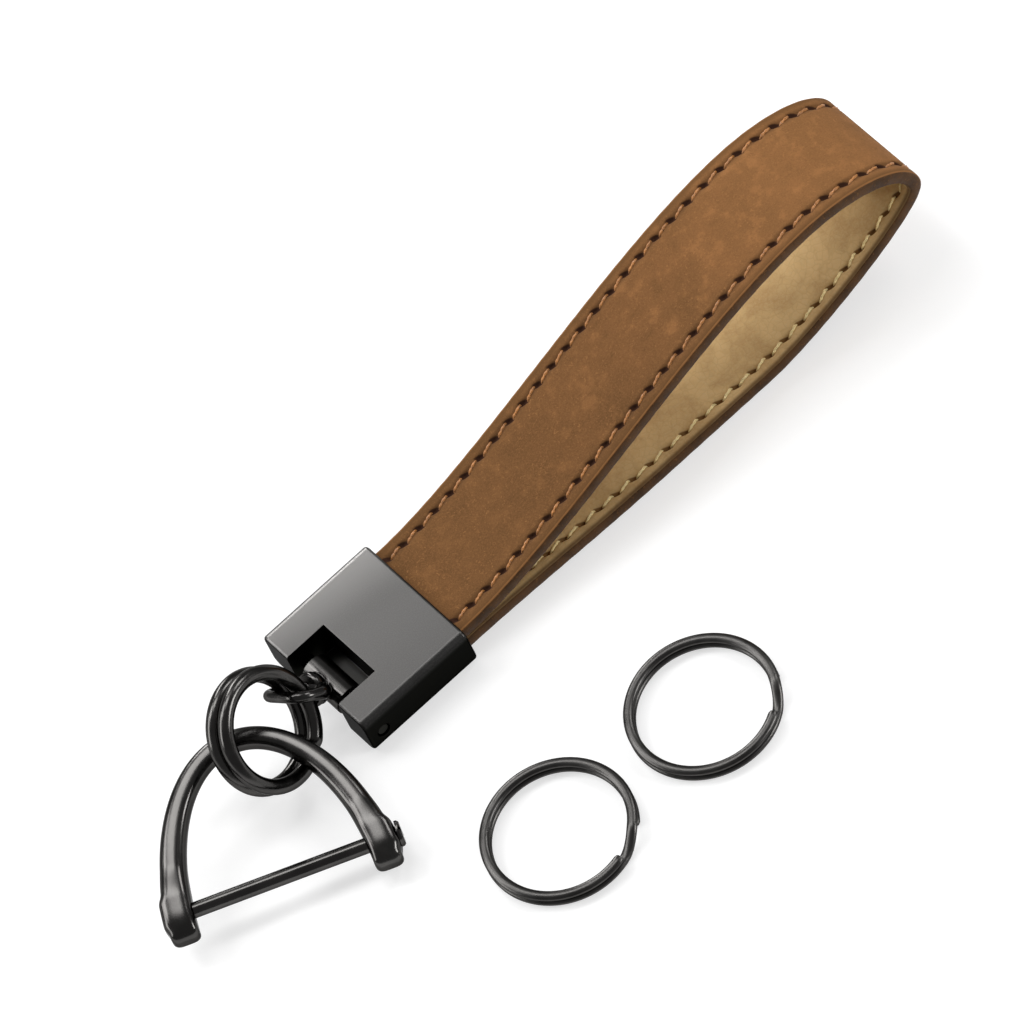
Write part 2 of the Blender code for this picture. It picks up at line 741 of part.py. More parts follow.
def main():
    """Builds every part of the keychain in its place."""
    for obj in list(bpy.data.objects):
        bpy.data.objects.remove(obj)
    bpy.context.scene.collection.children.link(PARTS)
    bpy.context.scene.collection.children.link(CUTTERS)

    nubuck = material("nubuck", (0.21, 0.10, 0.04), 0.85, 0)
    lining = material("lining", (0.38, 0.25, 0.10), 0.8, 0)
    brown_thread = material("brown_thread", (0.50, 0.28, 0.11), 0.6, 0)
    gold_thread = material("gold_thread", (0.62, 0.45, 0.20), 0.55, 0)
    satin = material("satin_gunmetal", (0.18, 0.17, 0.165), 0.35, 1)
    dark = material("dark_gunmetal", (0.06, 0.058, 0.055), 0.25, 1)

    holes = [
        screw_hole("screw_cutter_left", SCREW_OFFSET),
        screw_hole("screw_cutter_right", -SCREW_OFFSET),
    ]
    finish(clamp(holes), satin)
    finish(screw("clamp_screw_left", SCREW_OFFSET), dark)
    finish(screw("clamp_screw_right", -SCREW_OFFSET), dark)
    half_pin = CLAMP_WIDTH / 2 - PIN_RECESS
    hinge_pin = cylinder("hinge_pin", PIN_RADIUS, -half_pin, half_pin)
    finish(across(hinge_pin, PIN_PLACE.x, PIN_PLACE.z), dark)

    spine = strap_spine()
    outer_skin = STRAP_HALF
    outer_flesh = STRAP_HALF - OUTER_THICKNESS
    lining_flesh = LINING_THICKNESS - STRAP_HALF
    lining_skin = -STRAP_HALF
    outer = leather_layer(
        "outer_leather", spine, outer_skin, outer_flesh, outer_skin - GROOVE_DEPTH, holes
    )
    inner = leather_layer(
        "lining_leather", spine, lining_skin, lining_flesh, lining_skin + GROOVE_DEPTH, holes
    )
    finish(outer, nubuck)
    finish(inner, lining)
    for side, hand in (("left", 1), ("right", -1)):
        finish(stitch_row(f"outer_stitch_{side}", spine, outer_skin, 1, hand), brown_thread)
        finish(stitch_row(f"lining_stitch_{side}", spine, lining_skin, -1, hand), gold_thread)

    hinge = empty("hinge_axis")
    hinge.location = PIN_PLACE
    hinge.rotation_euler.y = math.radians(SWIVEL_PITCH - 90)
    knuckle_body, knuckle_tools = knuckle()
    hang(hinge, finish(knuckle_body, dark), *knuckle_tools)
    hang(hinge, finish(collar(), dark), finish(rivet(), dark))

    turn = empty("swivel_axis", hinge)
    turn.rotation_euler.z = math.radians(BAIL_ROLL)
    bail_body, bail_tools = bail()
    hang(turn, finish(bail_body, dark), *bail_tools)

    swing = empty("bail_bar_axis", turn)
    swing.location.z = BAIL_REACH
    swing.rotation_euler = (0, math.radians(-RING_DROOP), math.radians(RING_TWIST))
    main_ring = split_ring(
        "main_split_ring",
        RING_RADIUS,
        RING_WIRE_RADIUS,
        RING_PITCH,
        RING_STEPS,
        RING_RAMP,
        RING_END_GAP,
        RING_SPLIT_AT,
    )
    main_ring.parent = swing
    main_ring.location.z = RING_OFFSET
    main_ring.rotation_euler.x = math.radians(90)
    finish(main_ring, dark, 80)

    bow, pin, shackle_tools, seat_angle = shackle()
    crown = empty("shackle_axis", swing)
    bpy.context.view_layer.update()
    ring_place = main_ring.matrix_world
    ring_axis = (ring_place.to_3x3() @ Vector((0, 0, 1))).normalized()
    down = Vector((0, 0, -1))
    down = (down - ring_axis * down.dot(ring_axis)).normalized()
    aside = ring_axis.cross(down) * SHACKLE_ASIDE
    seat = ring_place.translation + down * SHACKLE_DROP + aside
    crown.matrix_world = (
        Matrix.Translation(seat)
        @ Matrix.Rotation(math.radians(SHACKLE_HEADING), 4, "Z")
        @ Matrix.Rotation(math.radians(SHACKLE_LEAN), 4, "Y")
        @ Matrix.Rotation(math.radians(SHACKLE_RISE), 4, "X")
        @ Matrix.Rotation(seat_angle, 4, "Z")
    )
    hang(crown, finish(bow, dark), finish(pin, dark), *shackle_tools)

    loose_rings = (
        ("loose_ring_1", LOOSE_FIRST_PLACE, LOOSE_FIRST_SPLIT),
        ("loose_ring_2", LOOSE_SECOND_PLACE, LOOSE_SECOND_SPLIT),
    )
    for name, ring_middle, split_at in loose_rings:
        loose = split_ring(
            name,
            LOOSE_RADIUS,
            LOOSE_WIRE_RADIUS,
            LOOSE_PITCH / LOOSE_FLAT_SHARE,
            LOOSE_STEPS,
            LOOSE_RAMP,
            LOOSE_END_GAP,
            split_at,
        )
        loose.data.transform(Matrix.Diagonal((1, 1, LOOSE_FLAT_SHARE, 1)))
        loose.location = (*ring_middle, LOOSE_HALF_HEIGHT)
        finish(loose, dark, 80)


main()
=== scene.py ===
"""A leather car keychain: the looks of the strap, stitching, clamp, swivel, rings and shackle.

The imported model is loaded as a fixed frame, and each piece is placed in it in metres. A piece is a
surface worked out with numpy, or a welded copy of a CAD solid that gets smooth edges.
"""

import math

import bmesh
import bpy
import numpy as np
from bpy.props import FloatProperty, FloatVectorProperty, PointerProperty
from mathutils import Matrix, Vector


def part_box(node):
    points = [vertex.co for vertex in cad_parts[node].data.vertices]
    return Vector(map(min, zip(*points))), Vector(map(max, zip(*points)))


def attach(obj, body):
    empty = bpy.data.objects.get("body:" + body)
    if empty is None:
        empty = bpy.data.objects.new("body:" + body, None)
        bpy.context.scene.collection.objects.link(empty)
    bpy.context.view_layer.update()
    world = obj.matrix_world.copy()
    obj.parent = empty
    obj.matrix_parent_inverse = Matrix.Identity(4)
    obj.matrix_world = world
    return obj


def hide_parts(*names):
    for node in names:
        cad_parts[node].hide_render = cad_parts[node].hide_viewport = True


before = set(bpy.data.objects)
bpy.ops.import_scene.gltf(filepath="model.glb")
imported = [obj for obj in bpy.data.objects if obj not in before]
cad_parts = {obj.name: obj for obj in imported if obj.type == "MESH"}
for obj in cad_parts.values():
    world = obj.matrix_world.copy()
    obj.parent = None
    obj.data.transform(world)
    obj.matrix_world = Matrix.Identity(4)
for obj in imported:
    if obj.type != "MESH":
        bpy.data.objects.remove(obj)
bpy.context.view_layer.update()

bl_info = {
    "name": "Leather Keychain",
    "version": (1, 0, 0),
    "blender": (4, 5, 0),
    "location": "3D View > Sidebar > Keychain",
    "description": "Builds a stitched leather keychain with its clamp, swivel, rings and shackle",
    "category": "Add Mesh",
}

# A millimetre in metres, and the clearance between the solids
MM = 0.001
GAP = 0.3 * MM

# Sizes read from the frame
CLAMP_LOW, CLAMP_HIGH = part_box("clamp_body")
STRAP_LOW, STRAP_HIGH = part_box("outer_leather")
CLAMP_HALF = CLAMP_HIGH.x
CLAMP_WIDTH = CLAMP_HIGH.y - CLAMP_LOW.y
CLAMP_THICKNESS = CLAMP_HIGH.z
STRAP_EDGE = STRAP_HIGH.y
STRAP_INNER_END = STRAP_LOW.x
LOOP_REACH = STRAP_HIGH.x - CLAMP_HALF
LOOP_HEIGHT = STRAP_HIGH.z

# The strap's line, as in the part's source
OUTER_THICKNESS = 1.1 * MM
GLUE_GAP = 0.25 * MM
LINING_THICKNESS = 1.05 * MM
STRAP_HALF = (OUTER_THICKNESS + GLUE_GAP + LINING_THICKNESS) / 2
LAYER_RISE = STRAP_HALF + GAP / 2
SKIN_CORNER = 0.32 * MM
TIP_HEIGHT = 13.8 * MM
CREST_X = CLAMP_HALF + 0.80 * LOOP_REACH
TOUCH_X = CLAMP_HALF + 0.635 * LOOP_REACH
SETTLE_X = CLAMP_HALF + 0.42 * LOOP_REACH
ROW_STEP = 0.36 * MM

# How far the handles of the strap's curves reach, at the start and at the end of each curve, as
# shares of the curve's own reach along x and z
RISE_HANDLES = (0.27, 0), (0.30, 0)
TURN_HANDLES = (0.55, 0), (0, 0.55)
FALL_HANDLES = (0, 0.355), (0.29, 0)
SETTLE_HANDLES = (0.4, 0), (0.4, 0)

# Needle holes and stitches. The share is of a stitch's pitch, the sink of the thread's radius,
# and the taper and the lobes of its width
HOLE_REACH = 0.72 * MM
HOLE_WIDTH = 0.42 * MM
HOLE_DEPTH = 0.38 * MM
HOLE_LEAN = 0.4
CHANNEL_WIDTH = 0.55 * MM
STITCH_SHARE = 0.42
STITCH_SINK = 0.62
STITCH_DIP = 0.85 * MM
STITCH_TAPER = 0.35
STITCH_TWIST = 1.6 * np.pi
STITCH_LOBES = 0.18

# The painted edge: its bulge, where it starts across the strap, and its flat back
EDGE_BULGE = 0.34 * MM
EDGE_START = STRAP_EDGE - 0.12 * MM
EDGE_BACK = STRAP_EDGE - 0.6 * MM
EDGE_TOP = STRAP_HALF - 0.14 * MM

# Clamp, as in the part's source, with softer long edges. Between two depths, its satin face gives
# way to the painted dark reflection on its sides
CLAMP_CORNER = 1.4 * MM
CLAMP_RIM = 0.5 * MM
NOTCH_HALF = 6.3 * MM
NOTCH_END = 7.8 * MM - CLAMP_HALF
NOTCH_LIP = 2.1 * MM
NOTCH_LIP_THICKNESS = 1.2 * MM
POCKET_END = NOTCH_END + 1.4 * MM
POCKET_HALF = STRAP_EDGE + GAP
POCKET_HALF_HEIGHT = 2 * STRAP_HALF + 1.5 * GAP
PIN_RADIUS = 0.9 * MM
SCREW_PLACES = (4.6 * MM, 5.5 * MM), (4.6 * MM, -5.5 * MM)
SCREW_HEAD_RADIUS = 1.6 * MM
SCREW_HOLE_DEPTH = 1.2 * MM
CUT_PAST = 2 * MM
CUT_BEVEL = 0.12 * MM
DARK_SIDE_DEPTHS = (1.4 * MM, 0.7 * MM)

# Swivel and rings, as in the part's source
PIN_PLACE = (2.8 * MM - CLAMP_HALF, 0, 3.2 * MM)
SWIVEL_PITCH = 39.6
COLLAR_START = 3.05 * MM
COLLAR_THICKNESS = 0.4 * MM
COLLAR_RADIUS = 2.6 * MM
RIVET_RADIUS = 0.9 * MM
RIVET_ROOT = 2.2 * MM
RIVET_HEAD_RADIUS = 1.3 * MM
RIVET_HEAD_THICKNESS = 0.2 * MM
HUB_RADIUS = 2.8 * MM
HUB_THICKNESS = 1.6 * MM
HUB_START = COLLAR_START + COLLAR_THICKNESS + GAP
HUB_END = HUB_START + HUB_THICKNESS
BAIL_ROLL = 33.0
BAIL_BAR_RADIUS = 0.85 * MM
BAIL_REACH = 10.7 * MM
BAIL_CORNER = 2.4 * MM
BAIL_PLAY = 0.8 * MM
BAIL_STOUTNESS = 1.07
BAIL_SWELL = 0.5
RING_DROOP = 42.0
RING_TWIST = 8.0
RING_WIRE_RADIUS = 1.3 * MM
RING_PITCH = 2 * RING_WIRE_RADIUS + GAP
RING_RADIUS = 10.1 * MM - RING_WIRE_RADIUS
BAR_PLAY = 0.3 * MM
RING_OFFSET = RING_RADIUS - RING_WIRE_RADIUS - BAR_PLAY - BAIL_BAR_RADIUS
BAIL_HALF_WIDTH = RING_PITCH / 2 + RING_WIRE_RADIUS + BAIL_PLAY + BAIL_BAR_RADIUS
RING_VISIBLE_WIRE = 0.97 * RING_WIRE_RADIUS
LOOSE_WIRE_RADIUS = 0.85 * MM
LOOSE_RADIUS = 12.5 * MM - LOOSE_WIRE_RADIUS
LOOSE_WIRE_HALF_HEIGHT = LOOSE_WIRE_RADIUS * 0.65
LOOSE_PITCH = 2 * LOOSE_WIRE_HALF_HEIGHT + GAP

# Each ring's split, in degrees: its middle, the length of its step, and the gap at a cut end. The
# wire narrows there by a share, over a reach in shares of its own half width
RING_SPLIT = (195, 24, 2)
LOOSE_SPLITS = (320, 26, 3), (302, 26, 3)
END_NARROWING = 0.22
END_REACH = 0.3

# Shackle, as in the part's source
SHACKLE_HEADING = -23.8
SHACKLE_RISE = 9.0
SHACKLE_LEAN = 3.0
SHACKLE_DROP = 2.9 * MM
SHACKLE_SEAT_TURN = 23.5
BOW_HALF_WIDTH = 16.5 * MM
BOW_TOE = 4.7 * MM
BOW_RISE = 24.2 * MM + BOW_TOE
BOW_FACE = 4.1 * MM
BOW_DEPTH = 4.3 * MM
CROWN_SHARE = 0.80
EAR_TOP = 3.4 * MM
EAR_START = EAR_TOP + 4.2 * MM
EAR_BLEND = 5.6 * MM
EAR_SHARE = 1.24
LEG_SHARE = 1.07
LEG_POWER = 2.5
INNER_SHARE = 1.10
OUTER_SHARE = 1.12
BOSS_SHARE = 0.25
BOSS_REACH = 3.4 * MM
BOSS_BLEND = 1.8 * MM
TOE_ROUNDING = 1.1 * MM
TOE_SLOPE = 5.0 * MM
TOE_FALL = 0.40
LEG_SQUARENESS = 0.68
EAR_SQUARENESS = 0.52


def screen(*colour):
    """A colour given as it looks on a screen, from 0 to 255, in scene values."""
    return tuple(v / 255 / 12.92 if v < 11 else ((v / 255 + 0.055) / 1.055) ** 2.4 for v in colour)


LENGTH = {"unit": "LENGTH", "precision": 5}
SHARE = {"max": 1, "subtype": "FACTOR"}
RADIANCE = {"subtype": "UNSIGNED"}


def number(name, description, default, kind):
    """A number from 0 up that can be set in the sidebar."""
    return FloatProperty(name=name, description=description, default=default, min=0, **kind)


def tint(name, description, default):
    """A colour that can be set in the sidebar."""
    return FloatVectorProperty(
        name=name, description=description, default=default, min=0, max=1, subtype="COLOR"
    )


class KeychainStrapSettings(bpy.types.PropertyGroup):
    """Sizes and colours of the strap and its stitching."""

    stitch_inset: number("Stitch inset", "From the strap's edge to a row", 2.3 * MM, LENGTH)
    stitch_pitch: number("Stitch pitch", "From one needle hole to the next", 3.6 * MM, LENGTH)
    thread_radius: number("Thread radius", "Half the thread's width", 0.28 * MM, LENGTH)
    thread_slant: number("Thread slant", "How far a stitch steps sideways", 0.40 * MM, LENGTH)
    channel: number("Channel", "How deep the leather is drawn in at a row", 0.26 * MM, LENGTH)
    pucker: number("Pucker", "How far the edge waves between stitches", 0.03 * MM, LENGTH)
    # nubuck_dark also gives the painted shade near the clamp and on the lip; nubuck_light the
    # painted light towards the crest and the painted highlight on the arris
    nubuck_dark: tint("Nubuck dark", "Dark clouds of the nubuck", screen(96, 65, 34))
    nubuck: tint("Nubuck", "Main colour of the nubuck", screen(117, 79, 44))
    nubuck_light: tint("Nubuck light", "Rubbed nubuck", screen(158, 109, 64))
    lining: tint("Lining", "Main colour of the lining", screen(206, 175, 124))
    # lining_dark also gives the painted shade along the lining's stitch channels
    lining_dark: tint("Lining dark", "Cracks and smudges", screen(164, 130, 84))
    edge_paint: tint("Edge paint", "Painted cut edges", screen(88, 60, 34))
    thread: tint("Thread", "Thread on the nubuck", screen(190, 124, 58))
    lining_thread: tint("Lining thread", "Thread on the lining", screen(255, 232, 166))


class KeychainMetalSettings(bpy.types.PropertyGroup):
    """Finishes of the metal pieces."""

    face: tint("Satin face", "The clamp's satin front", (0.083, 0.081, 0.079))
    # A painted dark reflection: the clamp's sides, and the hinge pin, are darker than the satin face
    side: tint("Clamp side", "Painted dark reflection on the clamp's sides", (0.012, 0.012, 0.011))
    plate: tint("Dark plate", "Dark plate of rings and shackle", (0.062, 0.060, 0.058))
    satin: number("Satin roughness", "How soft the satin's shine is", 0.36, SHARE)
    polish: number("Polish roughness", "How soft the dark plate's shine is", 0.20, SHARE)


class KeychainStageSettings(bpy.types.PropertyGroup):
    """Floor, lamps and camera."""

    floor: tint("Floor", "Plain pale floor", (0.50, 0.50, 0.50))
    glow: number("Glow", "The floor's own light in the picture", 0.58, SHARE)
    key: number("Key", "Radiance of the main lamp", 11.0, RADIANCE)
    panel: number("Panel", "Radiance of the back panel", 1.15, RADIANCE)
    glint: number("Glint", "Radiance of the strip lamps", 20.0, RADIANCE)
    fill: number("Fill", "Strength of the surroundings", 0.20, SHARE)
    distance: number("Camera distance", "From the camera to its target", 2.0, LENGTH)


# Places and curves


def smooth(value):
    """A smooth step, from 0 at 0 to 1 at 1."""
    value = np.clip(value, 0, 1)
    return value * value * (3 - 2 * value)


def circle(steps):
    """The cosines and sines of even steps round a circle."""
    angle = np.linspace(0, 2 * np.pi, steps, endpoint=False)
    return np.cos(angle), np.sin(angle)


def shift(x, y, z):
    """A move, as a 4 by 4 matrix."""
    made = np.eye(4)
    made[:3, 3] = (x, y, z)
    return made


def turn(axis, degrees):
    """A right-handed turn about one axis, as a 4 by 4 matrix."""
    return np.array(Matrix.Rotation(math.radians(degrees), 4, axis))


def moved(points, place):
    """Points carried by a 4 by 4 matrix."""
    return points @ place[:3, :3].T + place[:3, 3]


def bow_point(angle):
    """The bow's middle line: an ellipse, widest at the toes, with the pin at y = 0."""
    return np.stack(
        [BOW_HALF_WIDTH * np.sin(angle), BOW_RISE * np.cos(angle) - BOW_TOE, 0 * angle], -1
    )


HINGE = shift(*PIN_PLACE) @ turn("Y", SWIVEL_PITCH - 90)
SWIVEL = HINGE @ turn("Z", BAIL_ROLL)
BAIL_BAR = SWIVEL @ shift(0, 0, BAIL_REACH) @ turn("Z", RING_TWIST) @ turn("Y", -RING_DROOP)
RING = BAIL_BAR @ shift(0, 0, RING_OFFSET) @ turn("X", 90)


def shackle_place():
    """The shackle's frame: its seat in the ring, then its heading, lean, rise and turn there."""
    axis = RING[:3, 2]
    down = np.array([0, 0, -1.0])
    down = down - axis * (axis @ down)
    seat = RING[:3, 3] + down / np.linalg.norm(down) * SHACKLE_DROP
    here = bow_point(np.radians(SHACKLE_SEAT_TURN))
    place = shift(*seat) @ turn("Z", SHACKLE_HEADING) @ turn("Y", SHACKLE_LEAN)
    return place @ turn("X", SHACKLE_RISE) @ shift(*-here)


SHACKLE = shackle_place()


# Meshes


def new_object(name, data):
    """An object in the scene."""
    made = bpy.data.objects.new(name, data)
    bpy.context.scene.collection.objects.link(made)
    return made


def tube_mesh(name, grids, closed=False):
    """A mesh of closed tubes. grids holds tubes by rows by points round a row, in metres.

    Each cell of a grid is one four-sided face. The last point of a row joins the first, and a
    tube's ends are closed by one face each, or its last row joins its first. All faces are turned
    over where the volume that they enclose would come out negative.
    """
    tubes, rows, around = grids.shape[:3]
    index = np.arange(tubes * rows * around).reshape(tubes, rows, around)
    here = index if closed else index[:, :-1]
    there = np.roll(index, -1, 1) if closed else index[:, 1:]
    quads = np.stack([here, np.roll(here, -1, 2), np.roll(there, -1, 2), there], -1).reshape(-1, 4)
    points = grids.reshape(-1, 3)
    first, second, third, fourth = points[quads].swapaxes(0, 1)
    slope = np.cross(third - first, fourth - second)
    volume = ((first - points.mean(0)) * slope).sum()
    loops, sizes = [quads.ravel()], [np.full(len(quads), 4)]
    if not closed:
        loops += [index[:, 0, ::-1].ravel(), index[:, -1].ravel()]
        sizes += [np.full(2 * tubes, around)]
    loops, sizes = np.concatenate(loops), np.concatenate(sizes)
    starts = np.concatenate([[0], np.cumsum(sizes)[:-1]])
    if volume < 0:
        face = np.repeat(np.arange(len(sizes)), sizes)
        loops = loops[2 * starts[face] + sizes[face] - 1 - np.arange(len(loops))]
    mesh = bpy.data.meshes.new(name)
    mesh.vertices.add(len(points))
    mesh.vertices.foreach_set("co", points.ravel())
    mesh.loops.add(len(loops))
    mesh.loops.foreach_set("vertex_index", loops)
    mesh.polygons.add(len(sizes))
    mesh.polygons.foreach_set("loop_start", starts)
    mesh.update(calc_edges=True)
    mesh.validate()
    return mesh


def mesh_piece(name, grids, body, finish, node=None, closed=False, along=None):
    """A piece of closed tubes: see tube_mesh.

    along is a value at each row or point, kept as an attribute for patterns that follow the piece.
    """
    mesh = tube_mesh(name, grids, closed)
    if along is not None:
        value = np.broadcast_to(along, grids.shape[:3]).ravel()
        kept = mesh.attributes.new("along", "FLOAT", "POINT")
        kept.data.foreach_set("value", value.astype(np.float32))
    return dress(name, mesh, body, finish, node)


def smoothed(piece, sharp, weighted):
    """Smooths a piece up to an angle in degrees, with the large faces kept flat if weighted."""
    piece.data.shade_smooth()
    piece.data.set_sharp_from_angle(angle=math.radians(sharp))
    if weighted:
        piece.modifiers.new("face weighted shading", "WEIGHTED_NORMAL").keep_sharp = True


def dress(name, mesh, body, finish, node, sharp=50, weighted=False):
    """A piece with its material and body, and the CAD node it replaces."""
    mesh.materials.clear()
    mesh.materials.append(finish[0])
    piece = new_object(name, mesh)
    smoothed(piece, sharp, weighted)
    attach(piece, body)
    if node:
        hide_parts(node)
    return piece


def welded_copy(node, name, body, finish):
    """A copy of a CAD solid with its triangles joined, so that its round faces shade smoothly."""
    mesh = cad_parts[node].data.copy()
    shape = bmesh.new()
    shape.from_mesh(mesh)
    bmesh.ops.remove_doubles(shape, verts=shape.verts, dist=2e-6)
    flat = math.radians(0.5)
    bmesh.ops.dissolve_limit(shape, angle_limit=flat, verts=shape.verts, edges=shape.edges)
    shape.to_mesh(mesh)
    shape.free()
    mesh.name = name
    dress(name, mesh, body, finish, node, sharp=32, weighted=True)


def turned_piece(name, profile, place, body, finish, node=None):
    """A solid of revolution: each (radius, height) of the profile swept round the local Z axis."""
    radius, height = np.array(profile).T[..., None]
    cos, sin = circle(64)
    rings = np.stack([radius * cos, radius * sin, height + 0 * cos], -1)
    mesh_piece(name, moved(rings, place)[None], body, finish, node)


def rounded(radius, low, high, edge, steps=5):
    """The profile of a disc with rounded rims, from its low face to its high one."""
    bend = np.linspace(0, np.pi / 2, steps)
    inner, drop = radius - edge, edge * np.cos(bend)
    under = zip(inner + edge * np.sin(bend), low + edge - drop)
    over = zip(inner + drop, high - edge + edge * np.sin(bend))
    return [(radius * 0.02, low), *under, *over, (radius * 0.02, high)]


# Strap


def curve(start, end, handles, steps):
    """Points along a cubic curve, without its last one. For the handles, see RISE_HANDLES."""
    leave, arrive = (end - start) * handles
    t = np.linspace(0, 1, steps, endpoint=False)[:, None]
    weights = np.hstack([(1 - t) ** 3, 3 * t * (1 - t) ** 2, 3 * t * t * (1 - t), t**3])
    return weights @ [start, start + leave, end - arrive, end]


def strap_line():
    """The strap's middle line in (x, z), its outward directions and its running length.

    It leaves the clamp's upper slot, rises to the crest, turns round the tip, comes down to the
    ground, runs flat, and lifts a little into the lower slot. Rows are evenly spaced.
    """
    middle = CLAMP_THICKNESS / 2
    upper = np.array((CLAMP_HALF, middle + LAYER_RISE))
    crest = np.array((CREST_X, LOOP_HEIGHT - STRAP_HALF))
    tip = np.array((CLAMP_HALF + LOOP_REACH - STRAP_HALF, TIP_HEIGHT))
    touch = np.array((TOUCH_X, STRAP_HALF))
    settle = np.array((SETTLE_X, STRAP_HALF))
    lower = np.array((CLAMP_HALF, middle - LAYER_RISE))
    line = np.vstack([
        (STRAP_INNER_END, upper[1]),
        curve(upper, crest, RISE_HANDLES, 400),
        curve(crest, tip, TURN_HANDLES, 200),
        curve(tip, touch, FALL_HANDLES, 300),
        touch,
        curve(settle, lower, SETTLE_HANDLES, 200),
        lower,
        (STRAP_INNER_END, lower[1]),
    ])
    run = np.concatenate([[0], np.cumsum(np.linalg.norm(np.diff(line, axis=0), axis=1))])
    even = np.linspace(0, run[-1], round(run[-1] / ROW_STEP) + 1)
    spot = np.stack([np.interp(even, run, line[:, 0]), np.interp(even, run, line[:, 1])], -1)
    way = np.gradient(spot, axis=0)
    way /= np.linalg.norm(way, axis=1)[:, None]
    return spot, np.stack([-way[:, 1], way[:, 0]], -1), even


SPOT, OUTWARD, RUN = strap_line()


def stitch_span(settings):
    """Where a row of stitches starts, and its pitch and number, clear of the clamp's pocket."""
    start = CLAMP_HALF - STRAP_INNER_END + 2 * GAP
    free = RUN[-1] - 2 * start
    count = int(free / settings.stitch_pitch)
    return start, free / count, count


def stitch_wave(settings):
    """Along the strap: the phase in the stitch pattern, 1 where there are stitches, the pucker."""
    start, pitch, count = stitch_span(settings)
    phase = (RUN - start)[:, None] / pitch
    inside = np.clip(8 * phase, 0, 1) * np.clip(8 * (count - phase), 0, 1)
    return phase, inside, settings.pucker * inside * (0.5 - 0.5 * np.cos(2 * np.pi * phase + 0.6))


def lifted(spot, outward, across, depth):
    """Strap points in space, from a row's place, the distance across and the depth outwards."""
    flat = spot[..., None, :] + outward[..., None, :] * depth[..., None]
    return np.stack([flat[..., 0], np.broadcast_to(across, flat.shape[:-1]), flat[..., 1]], -1)


def leather_profile(thickness, row):
    """One turn round a layer's section: across, and depth below the skin.

    The skin is close-set at both stitch rows. The two skin corners are quarter circles.
    """
    flat = STRAP_EDGE - SKIN_CORNER
    near = row + np.linspace(-1.0, 1.0, 15) * MM
    skin = np.unique(np.concatenate([np.linspace(-flat, flat, 30), near, -near]))
    bend = np.linspace(0, np.pi / 2, 6)[1:-1]
    corner = np.stack([flat + SKIN_CORNER * np.sin(bend), SKIN_CORNER * (1 - np.cos(bend))], -1)
    side = np.vstack([corner, (STRAP_EDGE, SKIN_CORNER), (STRAP_EDGE, thickness)])
    flesh = [(y, thickness) for y in np.linspace(0.8, -0.8, 5) * STRAP_EDGE]
    return np.vstack([np.stack([skin, 0 * skin], -1), side, flesh, side[::-1] * (-1, 1)]).T


def skin_sink(across, side, settings):
    """How deep the skin is drawn in: a channel along each row, and a slanted dimple at each hole.

    The dimples are flat-bottomed hollows, which lean against the slant of the thread.
    """
    phase, inside, _ = stitch_wave(settings)
    aside = np.abs(across) - (STRAP_EDGE - settings.stitch_inset)
    from_hole = (phase - np.round(phase)) * stitch_span(settings)[1]
    swell = 0.5 + 0.5 * np.cos(2 * np.pi * phase)
    channel = np.exp(-((aside / CHANNEL_WIDTH) ** 2)) * (0.6 + 0.4 * swell)
    leaning = np.sign(across) * aside + side * HOLE_LEAN * from_hole
    hole = np.exp(-((from_hole / HOLE_REACH) ** 4) - (leaning / HOLE_WIDTH) ** 4)
    return inside * (settings.channel * channel + HOLE_DEPTH * hole)


def leather_layer(name, side, thickness, node, finish, settings):
    """One strip of the loop. side is 1 for the outer layer and -1 for the lining."""
    across, depth = leather_profile(thickness, STRAP_EDGE - settings.stitch_inset)
    phase, _, pucker = stitch_wave(settings)
    sink = skin_sink(across, side, settings) * (depth < SKIN_CORNER)
    reach = side * (STRAP_HALF - depth - sink)
    spread = across * (1 - pucker * (np.abs(across) / STRAP_EDGE) ** 10 / STRAP_EDGE)
    grid = lifted(SPOT, OUTWARD, spread, reach)
    piece = mesh_piece(name, grid[None], "strap_and_clamp", finish, node, along=phase)


def edge_band(name, hand, finish, settings):
    """The painted cut edge of both layers: a D-shaped bead along one side of the strap.

    Its round side is a flattened half ellipse, which waves in and out with the stitches.
    """
    phase, _, pucker = stitch_wave(settings)
    angle = np.radians(np.linspace(-90, 90, 17))
    across = np.append(EDGE_START + EDGE_BULGE * np.cos(angle) ** 0.7, [EDGE_BACK] * 2)
    depth = EDGE_TOP * np.append(np.sin(angle), [0.9, -0.9])
    grid = lifted(SPOT, OUTWARD, hand * (across - pucker), depth)
    mesh_piece(name, grid[None], "strap_and_clamp", finish, along=phase)


def stitch_row(name, side, hand, node, finish, settings):
    """A row of slanted stitches, each a two-ply arch that dips into its needle holes.

    A stitch's height falls with the fourth power of the distance from its middle, and its round
    section has two lobes that turn along it. Sines of the stitch's number vary it a little.
    """
    start, pitch, count = stitch_span(settings)
    t = np.linspace(-1, 1, 21)[:, None]
    stitch = np.arange(count)[:, None]
    reach = start + pitch * (stitch + 0.5 + 0.02 * np.sin(7.3 * stitch) + STITCH_SHARE * t.T)
    rows = np.stack([np.interp(reach, RUN, column) for column in (*SPOT.T, *OUTWARD.T)], -1)
    radius = settings.thread_radius
    around = np.linspace(0, 2 * np.pi, 14, endpoint=False)
    lobe = 1 - STITCH_LOBES + STITCH_LOBES * np.cos(2 * (around - STITCH_TWIST * t))
    width = radius * (1 - STITCH_TAPER * t**4) * lobe
    depth = STRAP_HALF - STITCH_SINK * radius - STITCH_DIP * t**4 + width * np.cos(around)
    slant = settings.thread_slant * side * t * (1 + 0.25 * np.sin(3.1 * stitch))[..., None]
    across = hand * (STRAP_EDGE - settings.stitch_inset) + slant + width * np.sin(around)
    grids = lifted(rows[..., :2], rows[..., 2:], across, side * depth)
    mesh_piece(name, grids, "strap_and_clamp", finish, node, along=t)


# Metal forms


